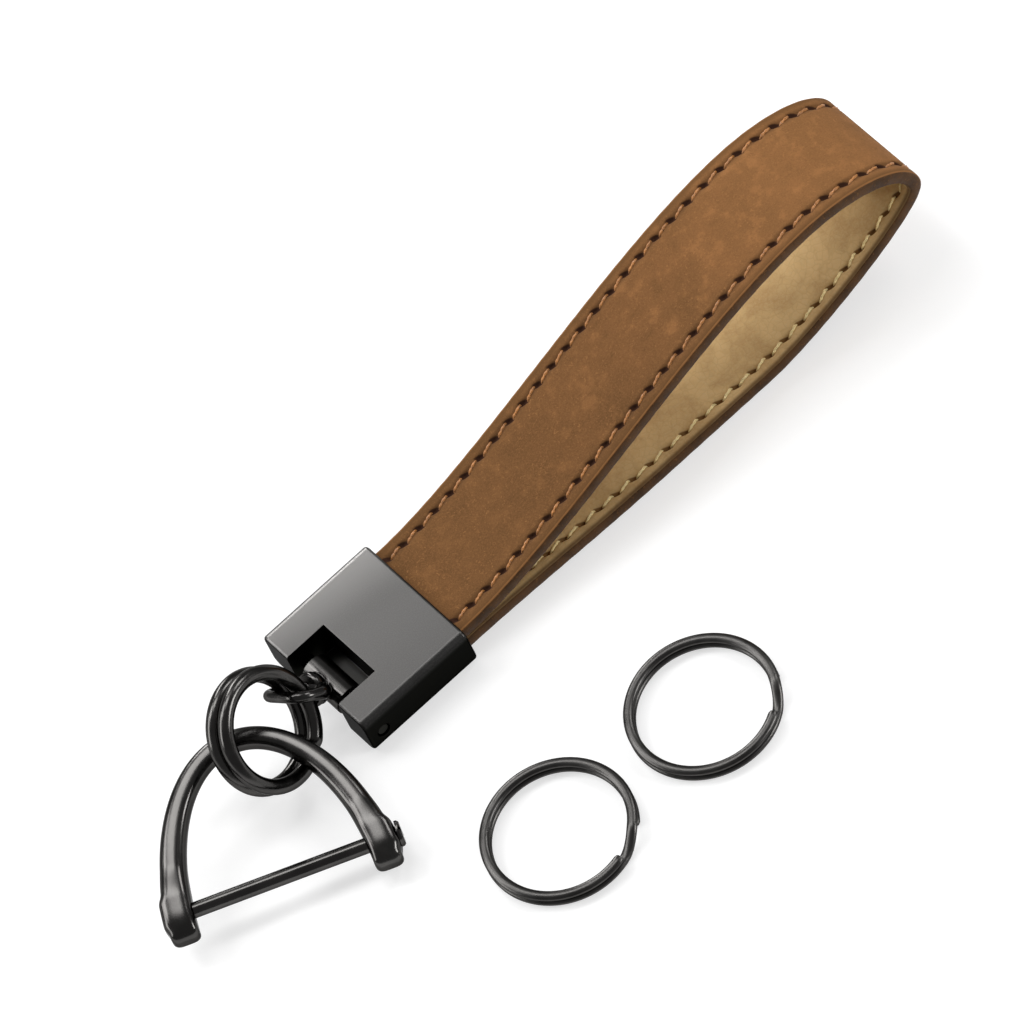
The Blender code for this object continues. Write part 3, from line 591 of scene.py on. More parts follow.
def rounded_rectangles(half, corner, steps):
    """Points round rectangles with quarter-circle corners: a row for each (width, height) in half.

    Also gives the direction that each point of a row faces.
    """
    signs = np.repeat([(1, 1), (-1, 1), (-1, -1), (1, -1)], steps, axis=0)
    angle = np.radians(np.concatenate([90 * k + np.linspace(0, 90, steps) for k in range(4)]))
    way = np.stack([np.cos(angle), np.sin(angle)], -1)
    return signs * (half - corner[:, None])[:, None] + corner[:, None, None] * way, way


def cutter(points, faces):
    """A loose closed form for cutting, with its faces turned outwards."""
    mesh = bpy.data.meshes.new("cutter")
    mesh.from_pydata(points.tolist(), [], faces)
    shape = bmesh.new()
    shape.from_mesh(mesh)
    bmesh.ops.recalc_face_normals(shape, faces=shape.faces)
    shape.to_mesh(mesh)
    shape.free()
    return new_object("cutter", mesh)


def box_cutter(low, high):
    """A loose box for cutting, between two corners."""
    corner = np.array([(x, y, z) for x in (0, 1) for y in (0, 1) for z in (0, 1)])
    faces = [(0, 1, 3, 2), (4, 6, 7, 5), (0, 4, 5, 1), (2, 3, 7, 6), (0, 2, 6, 4), (1, 5, 7, 3)]
    return cutter(low + corner * np.subtract(high, low), faces)


def drill(radius, start, step):
    """A loose round cutter, from its start point over a step along Y or Z."""
    cos, sin = circle(32)
    rim = radius * np.stack([cos, 0 * cos, sin] if step[1] else [cos, sin, 0 * cos], -1) + start
    sides = [(k, (k + 1) % 32, (k + 1) % 32 + 32, k + 32) for k in range(32)]
    faces = sides + [tuple(range(31, -1, -1)), tuple(range(32, 64))]
    return cutter(np.vstack([rim, rim + step]), faces)


def clamp_shell(finish):
    """The clamp: a box with rounded edges, a pocket, a notch, a bore and screw holes.

    A rounded rectangle is carried along X, drawn in at both ends by a quarter circle. The openings
    are cut out of it, and their fresh edges are broken by a narrow bevel.
    """
    bend = np.linspace(0, np.pi / 2, 7)
    inset = CLAMP_RIM * (1 - np.sin(bend))
    front = -CLAMP_HALF + CLAMP_RIM * (1 - np.cos(bend))
    x = np.concatenate([front, -front[::-1]])[:, None, None]
    inset = np.concatenate([inset, inset[::-1]])
    half = np.stack([CLAMP_WIDTH / 2 - inset, CLAMP_THICKNESS / 2 - inset], -1)
    flat, _ = rounded_rectangles(half, np.maximum(CLAMP_CORNER - 0.5 * inset, 0.1 * MM), 9)
    grid = np.concatenate([x + 0 * flat[..., :1], flat + (0, CLAMP_THICKNESS / 2)], -1)
    piece = mesh_piece("clamp_shell", grid[None], "strap_and_clamp", finish, "clamp_body")
    front, top = -CLAMP_HALF - CUT_PAST, CLAMP_THICKNESS + CUT_PAST
    side, middle, wall = NOTCH_HALF, CLAMP_THICKNESS / 2, CLAMP_WIDTH / 2 + CUT_PAST
    low, high = middle - POCKET_HALF_HEIGHT, middle + POCKET_HALF_HEIGHT
    lip_end, lip_top = NOTCH_END - NOTCH_LIP, 1.5 * NOTCH_LIP_THICKNESS
    cutters = [
        box_cutter((front, -side, NOTCH_LIP_THICKNESS), (NOTCH_END, side, top)),
        box_cutter((front, -side, -CUT_PAST), (lip_end, side, lip_top)),
        box_cutter((POCKET_END, -POCKET_HALF, low), (-front, POCKET_HALF, high)),
        drill(PIN_RADIUS + GAP, (PIN_PLACE[0], -wall, PIN_PLACE[2]), (0, 2 * wall, 0)),
    ]
    for place in SCREW_PLACES:
        depth = CUT_PAST + SCREW_HOLE_DEPTH
        cutters.append(drill(SCREW_HEAD_RADIUS + GAP, (*place, -CUT_PAST), (0, 0, depth)))
    for tool in cutters:
        cut = piece.modifiers.new("opening", "BOOLEAN")
        cut.operation, cut.solver, cut.object = "DIFFERENCE", "EXACT", tool
    edges = piece.modifiers.new("broken edges", "BEVEL")
    edges.width, edges.segments = CUT_BEVEL, 2
    edges.limit_method, edges.angle_limit = "ANGLE", math.radians(60)
    view = bpy.context.evaluated_depsgraph_get()
    whole = bpy.data.meshes.new_from_object(piece.evaluated_get(view))
    piece.modifiers.clear()
    piece.data = whole
    for tool in cutters:
        bpy.data.objects.remove(tool)
    smoothed(piece, 40, weighted=True)


def split_ring(name, radius, wire, pitch, split, place, body, node, finish):
    """Two turns of wire about the local Z axis, which step over each other at the split.

    The wire's middle goes round twice, and its height follows a smooth step at the split. Its
    section is an ellipse, drawn in at both cut ends. wire holds half its width and its height.
    """
    middle, ramp, end_gap = split
    reach = ramp / 2 + end_gap
    first, last = middle + reach, middle + 720 - reach
    angle = np.linspace(first, last, 301)[:, None]
    height = pitch * (smooth((angle - middle - 360) / ramp + 0.5) - 0.5)
    from_end = np.radians(np.minimum(angle - first, last - angle)) * radius / wire[0]
    size = 1 - END_NARROWING * np.clip(1 - from_end / END_REACH, 0, 1) ** 2
    cos, sin = circle(24)
    out = radius + wire[0] * size * cos
    way = np.radians(angle)
    grid = np.stack([out * np.cos(way), out * np.sin(way), height + wire[1] * size * sin], -1)
    mesh_piece(name, moved(grid, place)[None], body, finish, node)


def bail_frame(name, finish, node):
    """The eye's wire: a round section carried round a rounded rectangle in the local YZ plane."""
    near = HUB_START + HUB_THICKNESS / 2
    half_height = (BAIL_REACH - near) / 2
    half = np.array([(BAIL_HALF_WIDTH, half_height)])
    line, out = rounded_rectangles(half, np.array([BAIL_CORNER]), 13)
    cos, sin = circle(20)
    swell = BAIL_SWELL * np.clip(-line[0, :, 1:] / half_height, 0, 1)
    stout = BAIL_BAR_RADIUS * (BAIL_STOUTNESS + swell)
    flat = line[0, :, None] + out[:, None] * (stout * cos)[..., None]
    grid = np.stack([stout * sin, flat[..., 0], near + half_height + flat[..., 1]], -1)
    mesh_piece(name, moved(grid, SWIVEL)[None], "bail", finish, node, closed=True)


def squared(value, power):
    """A sine or cosine drawn towards the sides of a square."""
    return np.sign(value) * np.abs(value) ** power


def shackle_bow(name, finish):
    """The bow: a rounded square section carried along the arch, stouter at the two ears.

    The section is a superellipse. The ears swell by a smooth step, with a boss outside for the
    pin, and the toes are drawn in.
    """
    angle = np.pi / 2 * np.sin(np.linspace(-np.pi / 2, np.pi / 2, 241))[:, None]
    line = bow_point(angle[:, 0])
    way = np.hstack([BOW_HALF_WIDTH * np.cos(angle), -BOW_RISE * np.sin(angle)])
    way /= np.linalg.norm(way, axis=1)[:, None]
    side = np.hstack([-way[:, 1:], way[:, :1], 0 * angle])
    height = line[:, 1:2]
    from_toe = height + BOW_TOE
    leg = CROWN_SHARE + (LEG_SHARE - CROWN_SHARE) * np.abs(np.sin(angle)) ** LEG_POWER
    ear = smooth((EAR_START - height) / EAR_BLEND)
    boss = smooth((BOSS_REACH - np.abs(height)) / BOSS_BLEND)
    end = 0.5 + 0.5 * np.sqrt(1 - (1 - np.clip(from_toe / TOE_ROUNDING, 0, 1)) ** 2)
    fall = 1 - TOE_FALL * (1 - np.clip(from_toe / TOE_SLOPE, 0, 1)) ** 3
    leg = leg * (1 - ear)
    inner = end * (leg + ear * INNER_SHARE)
    outer = end * (leg + ear * OUTER_SHARE + BOSS_SHARE * boss)
    deep = end * fall * (leg + ear * EAR_SHARE)
    around = np.linspace(0, 2 * np.pi, 48, endpoint=False) + np.pi / 48
    power = LEG_SQUARENESS + (EAR_SQUARENESS - LEG_SQUARENESS) * ear
    out = squared(np.cos(around), power) * BOW_FACE / 2
    out = out * np.where(out > 0, outer, inner)
    up = squared(np.sin(around), power) * BOW_DEPTH / 2 * deep
    grid = line[:, None] + side[:, None] * out[..., None] + np.array((0, 0, 1)) * up[..., None]
    mesh_piece(name, moved(grid, SHACKLE)[None], "shackle", finish, "shackle_bow")


# Materials


def times(share, colour):
    """A colour made darker or lighter."""
    return tuple(share * value for value in colour)


def feed(tree, node, values):
    """Sets a node's inputs by name or number. Values that are sockets are linked."""
    for key, value in values.items():
        if isinstance(value, bpy.types.NodeSocket):
            tree.links.new(value, node.inputs[key])
        else:
            node.inputs[key].default_value = value


def add(tree, kind, values=None, **settings):
    """Adds a node with its inputs and settings."""
    made = tree.nodes.new(kind)
    for key, value in settings.items():
        setattr(made, key, value)
    feed(tree, made, values or {})
    return made


def start_material(name):
    """A material, its nodes, and the piece's own coordinates in metres."""
    made = bpy.data.materials.new(name)
    made.use_nodes = True
    tree = made.node_tree
    return made, tree, add(tree, "ShaderNodeTexCoord").outputs["Object"]


def finished(made, slot, colour, rough, layers, values):
    """Joins up a material's shader, and gives the finish: the material and its slot.

    The layers of (height, strength, distance) make the normal together.
    """
    tree, normal = made.node_tree, {}
    for height, strength, distance in layers:
        normal = {"Height": height, "Strength": strength, "Distance": distance, **normal}
        normal = {"Normal": add(tree, "ShaderNodeBump", normal).outputs[0]}
    values = {"Base Color": colour, "Roughness": rough, **normal, **values}
    feed(tree, tree.nodes["Principled BSDF"], values)
    return made, slot


def noise(tree, place, scale, detail, roughness, distortion=0.0):
    """Cloudy noise in 0 to 1, with so many clouds to a metre."""
    names = "Vector", "Scale", "Detail", "Roughness", "Distortion"
    values = dict(zip(names, (place, scale, detail, roughness, distortion)))
    return add(tree, "ShaderNodeTexNoise", values).outputs["Fac"]


def between(tree, value, low, high, first=0.0, last=1.0):
    """Maps low to high onto first to last, held at both ends, with soft ends."""
    values = {"Value": value, "From Min": low, "From Max": high, "To Min": first, "To Max": last}
    return add(tree, "ShaderNodeMapRange", values, interpolation_type="SMOOTHSTEP").outputs[0]


def maths(tree, operation, *values):
    """One arithmetic step."""
    return add(tree, "ShaderNodeMath", dict(enumerate(values)), operation=operation).outputs[0]


def parts(tree, vector):
    """The x, y and z of a vector."""
    return add(tree, "ShaderNodeSeparateXYZ", {0: vector}).outputs


def mix(tree, share, *colours):
    """Mixes two colours, given as sockets or values."""
    first, second = (
        colour if isinstance(colour, bpy.types.NodeSocket) else (*colour, 1) for colour in colours
    )
    return add(tree, "ShaderNodeMix", {0: share, 6: first, 7: second}, data_type="RGBA").outputs[2]


def layered(tree, colour, *layers):
    """Lays tones over a colour. A layer: a value, its low and high, the shares there, a tone."""
    for *limits, tone in layers:
        colour = mix(tree, between(tree, *limits), colour, tone)
    return colour


def strap_values(tree, place, side, settings):
    """Where a point is: along and across the strap, from the nearer stitch row, and from a hole.

    The last is in shares of a needle hole's size. The holes lean as the dimples do.
    """
    along, spot, _ = parts(tree, place)
    across = maths(tree, "ABSOLUTE", spot)
    from_row = maths(tree, "SUBTRACT", across, STRAP_EDGE - settings.stitch_inset)
    phase = add(tree, "ShaderNodeAttribute", attribute_name="along").outputs["Fac"]
    part = maths(tree, "MULTIPLY", maths(tree, "WRAP", phase, 0.5, -0.5), settings.stitch_pitch)
    off = maths(tree, "MULTIPLY", from_row, maths(tree, "SIGN", spot))
    leaning = maths(tree, "MULTIPLY_ADD", part, side * HOLE_LEAN, off)
    width = (1.25 if side > 0 else 1.0) * HOLE_WIDTH
    ends = [maths(tree, "DIVIDE", *pair) for pair in ((part, 1.15 * HOLE_REACH), (leaning, width))]
    cubes = [maths(tree, "POWER", maths(tree, "ABSOLUTE", end), 3.0) for end in ends]
    return along, across, maths(tree, "ABSOLUTE", from_row), maths(tree, "ADD", *cubes)


def nubuck_material(settings):
    """Brown nubuck: soft clouds and a fine nap with scuffs. Painted shade lies in the needle holes,
    along the stitch channels and on the lip, with a painted highlight along the rounded arris.

    It is darker near the clamp and paler towards the crest: painted shade and painted light.
    """
    made, tree, place = start_material("brown_nubuck")
    along, across, aside, hole = strap_values(tree, place, 1, settings)
    clouds = noise(tree, place, 75, 3, 0.55, 0.3)
    patches = noise(tree, place, 330, 4, 0.6)
    nap = noise(tree, place, 3600, 3, 0.7)
    scuffs = noise(tree, place, 1300, 2, 0.5, 2.5)
    wrinkle = noise(tree, place, 650, 5, 0.65, 0.8)
    dark, light = settings.nubuck_dark, settings.nubuck_light
    deep = times(0.5, dark)
    row = STRAP_EDGE - settings.stitch_inset
    colour = layered(
        tree, dark,
        (clouds, 0.30, 0.62, 0.25, 1, settings.nubuck),
        (patches, 0.50, 0.68, 0, 0.42, light),
        (patches, 0.46, 0.30, 0, 0.60, dark),
        # Painted shade near the clamp and painted light towards the crest, along the strap
        (along, CLAMP_HALF + 0.8 * LOOP_REACH, CLAMP_HALF, 0, 0.6, dark),
        (along, CLAMP_HALF + 0.5 * LOOP_REACH, CREST_X, 0, 0.3, light),
        (scuffs, 0.60, 0.70, 0, 0.42, light),
        (nap, 0.45, 0.72, 0, 0.22, light),
        (nap, 0.48, 0.28, 0, 0.25, deep),
        # Painted shade along each stitch channel, and on the lip from the row out to the edge
        (aside, 0.2 * MM, 1.1 * MM, 0.5, 0, deep),
        (across, row + 0.5 * MM, STRAP_EDGE, 0, 0.9, dark),
        # A painted highlight along the rounded arris
        (across, STRAP_EDGE - 0.36 * MM, STRAP_EDGE - 0.2 * MM, 0, 0.6, light),
        # Painted shade in the needle holes
        (hole, 0.35, 1.5, 1, 0, screen(50, 26, 12)),
    )
    layers = (nap, 0.30, 0.10 * MM), (wrinkle, 0.30, 0.20 * MM)
    sheen = {"Sheen Weight": 0.06, "Sheen Roughness": 0.45, "Sheen Tint": (*light, 1)}
    return finished(made, "nubuck", colour, 0.88, layers, {"Specular IOR Level": 0.2, **sheen})


def lining_material(settings):
    """Tan lining leather: crackled grain, soft smudges, pale wear, painted shade at the stitching.
    """
    made, tree, place = start_material("tan_lining")
    _, across, aside, hole = strap_values(tree, place, -1, settings)
    bend = add(tree, "ShaderNodeTexNoise", {"Vector": place, "Scale": 500.0, "Detail": 3.0})
    values = {0: bend.outputs["Color"], 1: (0.9 * MM,) * 3, 2: place}
    warped = add(tree, "ShaderNodeVectorMath", values, operation="MULTIPLY_ADD").outputs[0]
    values = {"Vector": warped, "Scale": 780.0}
    cells = add(tree, "ShaderNodeTexVoronoi", values, feature="DISTANCE_TO_EDGE")
    cells = cells.outputs["Distance"]
    clouds = noise(tree, place, 130, 4, 0.6, 0.5)
    grain = noise(tree, place, 2600, 3, 0.65)
    dark = settings.lining_dark
    colour = layered(
        tree, settings.lining,
        (clouds, 0.62, 0.36, 0, 0.6, dark),
        (grain, 0.35, 0.75, 0, 0.35, (0.58, 0.46, 0.26)),
        (cells, 0.0, 0.08, 0.22, 0, dark),
        # Painted shade along each stitch channel and in the needle holes
        (aside, 0.15 * MM, 0.8 * MM, 0.30, 0, dark),
        (hole, 0.35, 1.5, 1, 0, screen(112, 82, 46)),
        (across, STRAP_EDGE - 1.0 * MM, STRAP_EDGE - 0.3 * MM, 0, 0.8, settings.edge_paint),
    )
    layers = (cells, 0.30, 0.12 * MM), (grain, 0.30, 0.08 * MM)
    return finished(made, "lining", colour, 0.78, layers, {"Specular IOR Level": 0.14})


def edge_material(settings):
    """Burnished edge paint, a little uneven."""
    made, tree, place = start_material("edge_paint")
    clouds = noise(tree, place, 260, 4, 0.6)
    grain = noise(tree, place, 2200, 3, 0.6)
    colour = layered(
        tree, times(0.55, settings.edge_paint),
        (clouds, 0.30, 0.62, 0, 1, settings.edge_paint),
        (grain, 0.55, 0.80, 0, 0.35, settings.nubuck_light),
    )
    rough = between(tree, grain, 0.3, 0.7, 0.42, 0.62)
    layers = (grain, 0.25, 0.06 * MM), (clouds, 0.3, 0.25 * MM)
    return finished(made, "nubuck", colour, rough, layers, {"Specular IOR Level": 0.14})


def thread_material(name, colour, slot, shade):
    """Waxed thread: fine fibres, a little soiling, and painted shade at its ends in the holes."""
    made, tree, place = start_material(name)
    fibres = noise(tree, place, 5200, 3, 0.7)
    soil = noise(tree, place, 520, 3, 0.6)
    reach = add(tree, "ShaderNodeAttribute", attribute_name="along").outputs["Fac"]
    reach = maths(tree, "ABSOLUTE", reach)
    dark = times(shade, colour)
    tone = layered(
        tree, dark,
        (fibres, 0.32, 0.62, 0, 1, colour),
        (soil, 0.60, 0.36, 0, 0.45, dark),
        # Painted shade where the thread dips into its needle holes
        (reach, 0.40, 0.95, 0, 0.8, dark),
    )
    layers = [(fibres, 0.45, 0.06 * MM)]
    return finished(made, slot, tone, 0.48, layers, {"Specular IOR Level": 0.6})


def plate_material(name, tone, rough):
    """Dark gunmetal plate: polished, with faint wear in its shine and hair scratches."""
    made, tree, place = start_material(name)
    wear = noise(tree, place, 240, 4, 0.6)
    fine = noise(tree, place, 2600, 3, 0.6)
    colour = layered(tree, tone, (wear, 0.38, 0.66, 0, 1, times(1.25, tone)))
    rough = between(tree, wear, 0.3, 0.7, 0.9 * rough, 1.15 * rough)
    metal = {"Metallic": 1, "Specular Tint": (0.4, 0.4, 0.4, 1)}
    return finished(made, "dark_gunmetal", colour, rough, [(fine, 0.06, 0.03 * MM)], metal)


def satin_material(settings):
    """The clamp's satin front and back, a painted highlight to one edge, and painted dark sides."""
    made, tree, place = start_material("satin_gunmetal")
    outward = tree.nodes["Texture Coordinate"].outputs["Normal"]
    facing = maths(tree, "ABSOLUTE", parts(tree, outward)["Z"])
    along, side, height = parts(tree, place)
    middle = CLAMP_THICKNESS / 2
    off = maths(tree, "ABSOLUTE", maths(tree, "SUBTRACT", height, middle))
    skin = between(tree, off, middle - DARK_SIDE_DEPTHS[0], middle - DARK_SIDE_DEPTHS[1])
    # The satin face holds on the flat front and back; the sides carry a painted dark reflection
    flat = maths(tree, "MULTIPLY", between(tree, facing, 0.15, 0.85), skin)
    grain = noise(tree, place, 5200, 2, 0.6)
    highlight_and_grain_tone = times(2.1, settings.face)
    across = maths(tree, "MULTIPLY_ADD", along, 0.2, side)
    face = layered(
        tree, settings.face,
        # Painted highlight towards one long edge, and painted shade towards the other
        (across, 3 * MM, 15 * MM, 0, 1, highlight_and_grain_tone),
        (across, 2 * MM, -13 * MM, 0, 1, times(0.8, settings.face)),
        (grain, 0.35, 0.75, 0, 0.2, highlight_and_grain_tone),
    )
    colour = mix(tree, flat, settings.side, face)
    rough = between(tree, grain, 0.3, 0.7, 0.9 * settings.satin, 1.1 * settings.satin)
    metal = {"Metallic": 1, "Specular Tint": (0.35, 0.35, 0.35, 1)}
    return finished(made, "satin_gunmetal", colour, rough, [(grain, 0.06, 0.03 * MM)], metal)


def floor_material(settings):
    """A plain pale floor, which glows a little in the picture and in reflections."""
    made, tree, place = start_material("pale_floor")
    soft = noise(tree, place, 3, 2, 0.5)
    path = add(tree, "ShaderNodeLightPath").outputs
    seen = maths(tree, "MAXIMUM", path["Is Camera Ray"], path["Is Glossy Ray"])
    seen = maths(tree, "MAXIMUM", seen, path["Is Transmission Ray"])
    glow = maths(tree, "MULTIPLY", seen, settings.glow)
    glow = {"Emission Color": (1, 1, 1, 1), "Emission Strength": glow, "Specular IOR Level": 0}
    colour = mix(tree, soft, settings.floor, times(0.985, settings.floor))
    return finished(made, "floor", colour, 0.9, [], glow)


# Operators


class KEYCHAIN_OT_clamp(bpy.types.Operator):
    """Make the metal clamp with its screws and hinge pin."""

    bl_idname = "keychain.clamp"
    bl_label = "Clamp"

    def execute(self, context):
        settings = context.scene.keychain_metal
        satin = satin_material(settings)
        dark = plate_material("screw_plate", settings.plate, 0.30)
        # The hinge pin is as dark as the clamp's sides: a painted dark reflection
        painted_dark_pin_finish = plate_material("pin_plate_painted_dark", times(2, settings.side), 0.30)
        body = "strap_and_clamp"
        clamp_shell(satin)
        for side in ("left", "right"):
            welded_copy(f"clamp_screw_{side}", f"clamp_back_screw_{side}", body, dark)
        welded_copy("hinge_pin", "hinge_cross_pin", body, painted_dark_pin_finish)
        return {"FINISHED"}


class KEYCHAIN_OT_strap(bpy.types.Operator):
    """Make the two leather strips of the loop and their painted edges."""

    bl_idname = "keychain.strap"
    bl_label = "Strap"

    def execute(self, context):
        settings = context.scene.keychain_strap
        outer, inner = nubuck_material(settings), lining_material(settings)
        edge = edge_material(settings)
        leather_layer("strap_nubuck", 1, OUTER_THICKNESS, "outer_leather", outer, settings)
        leather_layer("strap_lining", -1, LINING_THICKNESS, "lining_leather", inner, settings)
        edge_band("edge_paint_left", 1, edge, settings)
        edge_band("edge_paint_right", -1, edge, settings)
        return {"FINISHED"}


class KEYCHAIN_OT_stitching(bpy.types.Operator):
    """Sew both edges of the strap, on the nubuck and on the lining."""

    bl_idname = "keychain.stitching"
    bl_label = "Stitching"

    def execute(self, context):
        settings = context.scene.keychain_strap
        brown = thread_material("tan_thread", settings.thread, "brown_thread", 0.42)
        cream = thread_material("cream_thread", settings.lining_thread, "gold_thread", 0.62)
        for name, hand in (("left", 1), ("right", -1)):
            stitch_row(f"outer_thread_{name}", 1, hand, f"outer_stitch_{name}", brown, settings)
            stitch_row(f"lining_thread_{name}", -1, hand, f"lining_stitch_{name}", cream, settings)
        return {"FINISHED"}


class KEYCHAIN_OT_swivel(bpy.types.Operator):
    """Make the hinged knuckle, its collar and rivet, and the eye that turns on it."""

    bl_idname = "keychain.swivel"
    bl_label = "Swivel"

    def execute(self, context):
        settings = context.scene.keychain_metal
        dark = plate_material("swivel_plate", settings.plate, settings.polish)
        welded_copy("swivel_knuckle", "hinge_knuckle", "knuckle", dark)
        collar = rounded(COLLAR_RADIUS, COLLAR_START, COLLAR_START + COLLAR_THICKNESS, 0.16 * MM)
        turned_piece("swivel_washer", collar, HINGE, "knuckle", dark, "swivel_collar")
        head = HUB_END + GAP
        shank = [(0.02 * MM, RIVET_ROOT), (RIVET_RADIUS, RIVET_ROOT), (RIVET_RADIUS, head)]
        cap = rounded(RIVET_HEAD_RADIUS, head, head + RIVET_HEAD_THICKNESS, 0.12 * MM)[1:]
        turned_piece("swivel_pin", shank + cap, HINGE, "knuckle", dark, "swivel_rivet")
        bail_frame("swivel_eye", dark, "swivel_bail")
        hub = rounded(HUB_RADIUS, HUB_START, HUB_END, 0.6 * MM, 8)
        turned_piece("eye_hub", hub, SWIVEL, "bail", dark)
        return {"FINISHED"}


class KEYCHAIN_OT_split_rings(bpy.types.Operator):
    """Wind the ring on the swivel and the two loose rings."""

    bl_idname = "keychain.split_rings"
    bl_label = "Split rings"

    def execute(self, context):
        settings = context.scene.keychain_metal
        dark = plate_material("ring_plate", settings.plate, settings.polish)
        brushed = plate_material("loose_ring_plate", settings.plate, 0.3)
        wire = RING_VISIBLE_WIRE, RING_VISIBLE_WIRE
        split_ring(
            "key_ring", RING_RADIUS, wire, RING_PITCH, RING_SPLIT, RING,
            "split_ring", "main_split_ring", dark,
        )
        wire = LOOSE_WIRE_RADIUS, LOOSE_WIRE_HALF_HEIGHT
        for digit, letter, split in zip("12", "ab", LOOSE_SPLITS):
            node = f"loose_ring_{digit}"
            low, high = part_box(node)
            split_ring(
                f"spare_ring_{digit}", LOOSE_RADIUS, wire, LOOSE_PITCH, split,
                shift(*(low + high) / 2), f"loose_ring_{letter}", node, brushed,
            )
        return {"FINISHED"}


class KEYCHAIN_OT_shackle(bpy.types.Operator):
    """Make the shackle's bow and its screw pin."""

    bl_idname = "keychain.shackle"
    bl_label = "Shackle"

    def execute(self, context):
        settings = context.scene.keychain_metal
        dark = plate_material("shackle_plate", settings.plate, settings.polish)
        shackle_bow("shackle_arch", dark)
        welded_copy("shackle_pin", "shackle_screw", "shackle_screw_pin", dark)
        return {"FINISHED"}


class KEYCHAIN_OT_stage(bpy.types.Operator):
    """Lay the floor, and set the lamps and the camera."""

    bl_idname = "keychain.stage"
    bl_label = "Stage"

    def execute(self, context):
        settings = context.scene.keychain_stage
        make_floor(settings)
        make_camera(settings)
        make_lamps(settings)
        context.scene.view_settings.view_transform = "Standard"
        return {"FINISHED"}


# Stage: the photo's own directions to the right and to the camera, its target and its width.
# RIGHT, UP and BACK are these directions, made exactly square to each other
LOOK_RIGHT = np.array((0.7317, -0.628, -0.263))
LOOK_BACK = np.array((-0.1715, -0.544, 0.822))
TARGET = np.array((30.1, -0.7, 6.5)) * MM
VIEW_WIDTH = 1024 / 6.5 * MM
SENSOR_WIDTH = 36
FLOOR_HALF = 4.0
FLOOR_HEIGHT = -0.02 * MM
BACK = LOOK_BACK / np.linalg.norm(LOOK_BACK)
RIGHT = LOOK_RIGHT - BACK * (LOOK_RIGHT @ BACK)
RIGHT = RIGHT / np.linalg.norm(RIGHT)
UP = np.cross(BACK, RIGHT)


def make_floor(settings):
    """A wide square floor under the object."""
    mesh = bpy.data.meshes.new("floor")
    corners = [(-1, -1, 0), (1, -1, 0), (1, 1, 0), (-1, 1, 0)]
    points = FLOOR_HALF * np.array(corners) + (0, 0, FLOOR_HEIGHT)
    mesh.from_pydata(points.tolist(), [], [(0, 1, 2, 3)])
    mesh.materials.append(floor_material(settings)[0])
    floor = new_object("floor", mesh)


def stand(data, *columns):
    """Puts up a camera or lamp, from its directions right, up and back, and its place."""
    made = new_object(data.name, data)
    place = np.eye(4)
    place[:3] = np.stack(columns, 1)
    made.matrix_world = Matrix(place.tolist())
    return made


def make_camera(settings):
    """A long lens at the photo's direction, so that the picture is nearly parallel."""
    data = bpy.data.cameras.new("camera")
    data.sensor_width = SENSOR_WIDTH
    data.lens = SENSOR_WIDTH * settings.distance / VIEW_WIDTH
    data.clip_start, data.clip_end = 0.01, 50
    bpy.context.scene.camera = stand(data, RIGHT, UP, BACK, TARGET + BACK * settings.distance)


def make_lamp(name, way, distance, width, height, radiance, aim=(0, 0, 0)):
    """A rectangular lamp that faces the target from a direction given as (right, up, back).

    aim moves the target, in metres.
    """
    out = way[0] * RIGHT + way[1] * UP + way[2] * BACK
    out /= np.linalg.norm(out)
    side = np.cross(UP, out)
    side /= np.linalg.norm(side)
    data = bpy.data.lights.new(name, "AREA")
    data.shape, data.size, data.size_y = "RECTANGLE", width, height
    data.energy = radiance * math.pi * width * height
    stand(data, side, np.cross(out, side), out, TARGET + aim + out * distance)


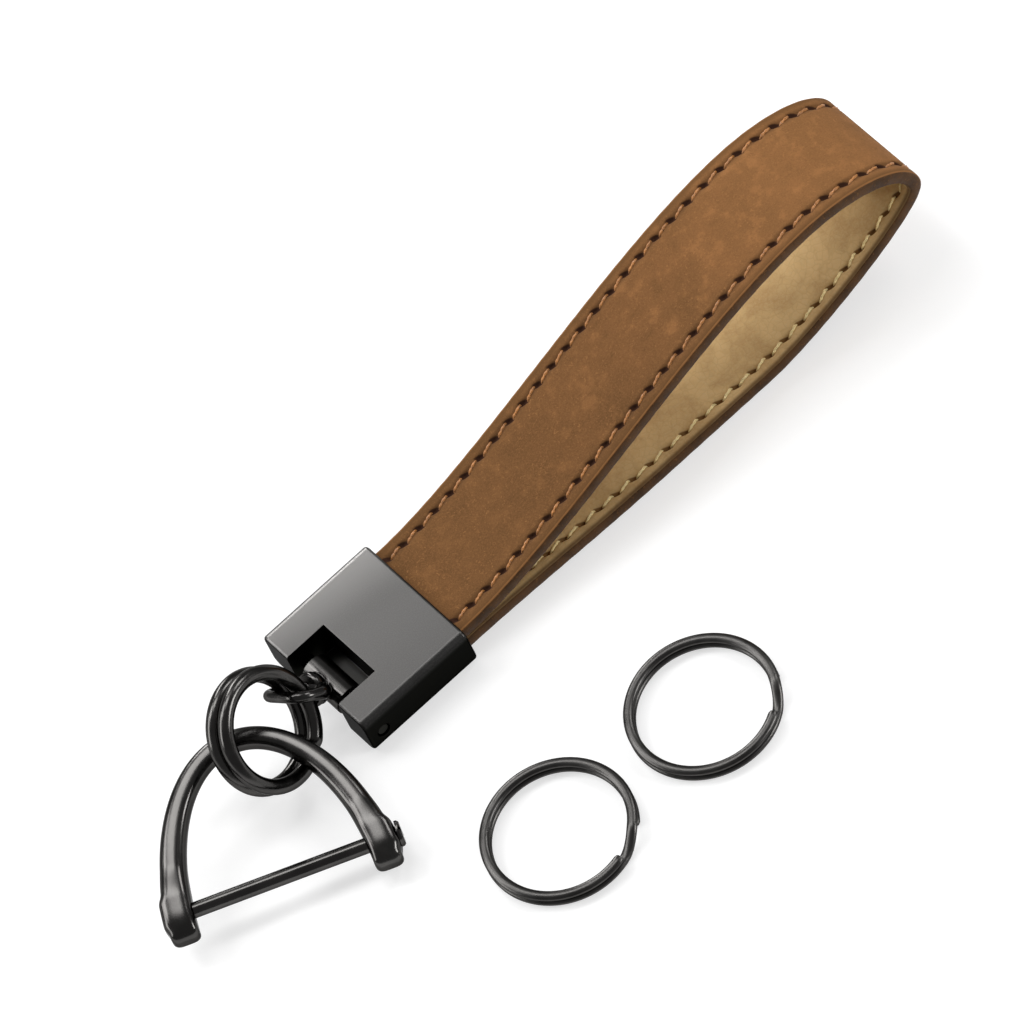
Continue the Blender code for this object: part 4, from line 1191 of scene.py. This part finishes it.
def make_lamps(settings):
    """A key from the right, panels behind, strips for long highlights, dim surroundings."""
    tip = (0.07, 0, 0)
    make_lamp("key", (0.66, 0.24, 0.70), 0.42, 0.15, 0.15, settings.key, tip)
    make_lamp("panel", (-0.36, 0.78, 0.50), 1.0, 0.50, 0.40, settings.panel)
    make_lamp("face_panel", (-0.42, 0.70, 0.57), 0.95, 0.34, 0.22, 0.3 * settings.glint)
    make_lamp("left_panel", (-0.80, 0.50, 0.42), 1.0, 0.34, 0.34, 0.36 * settings.glint)
    make_lamp("right_panel", (0.25, 0.90, 0.42), 1.0, 0.30, 0.26, 0.34 * settings.glint)
    make_lamp("left_strip", (-1.0, 0.0, 0.25), 0.9, 0.36, 0.7, 0.26 * settings.glint)
    make_lamp("back_strip", (-0.53, 0.74, -0.18), 0.9, 0.60, 0.16, 0.6 * settings.glint)
    world = bpy.data.worlds.new("surroundings")
    world.use_nodes = True
    sky = world.node_tree.nodes["Background"]
    feed(world.node_tree, sky, {"Color": (1, 1, 1, 1), "Strength": settings.fill})
    bpy.context.scene.world = world


class KEYCHAIN_PT_panel(bpy.types.Panel):
    """Buttons and settings for the keychain."""

    bl_idname = "KEYCHAIN_PT_panel"
    bl_label = "Leather Keychain"
    bl_space_type = "VIEW_3D"
    bl_region_type = "UI"
    bl_category = "Keychain"

    def draw(self, context):
        for operator in OPERATORS:
            self.layout.operator(operator.bl_idname)
        for group in SETTINGS:
            box = self.layout.box()
            values = getattr(context.scene, group)
            for key in values.__annotations__:
                box.prop(values, key)


OPERATORS = (
    KEYCHAIN_OT_clamp,
    KEYCHAIN_OT_strap,
    KEYCHAIN_OT_stitching,
    KEYCHAIN_OT_swivel,
    KEYCHAIN_OT_split_rings,
    KEYCHAIN_OT_shackle,
    KEYCHAIN_OT_stage,
)
SETTINGS = {
    "keychain_strap": KeychainStrapSettings,
    "keychain_metal": KeychainMetalSettings,
    "keychain_stage": KeychainStageSettings,
}
CLASSES = (*SETTINGS.values(), *OPERATORS, KEYCHAIN_PT_panel)


def register():
    """Registers the settings, operators and panel."""
    for made in CLASSES:
        bpy.utils.register_class(made)
    for name, group in SETTINGS.items():
        setattr(bpy.types.Scene, name, PointerProperty(type=group))


def unregister():
    """Takes the settings, operators and panel away again."""
    for name in SETTINGS:
        delattr(bpy.types.Scene, name)
    for made in reversed(CLASSES):
        bpy.utils.unregister_class(made)


def main():
    """Builds every piece and the stage."""
    register()
    bpy.ops.keychain.clamp()
    bpy.ops.keychain.strap()
    bpy.ops.keychain.stitching()
    bpy.ops.keychain.swivel()
    bpy.ops.keychain.split_rings()
    bpy.ops.keychain.shackle()
    bpy.ops.keychain.stage()


if __name__ == "__main__":
    main()
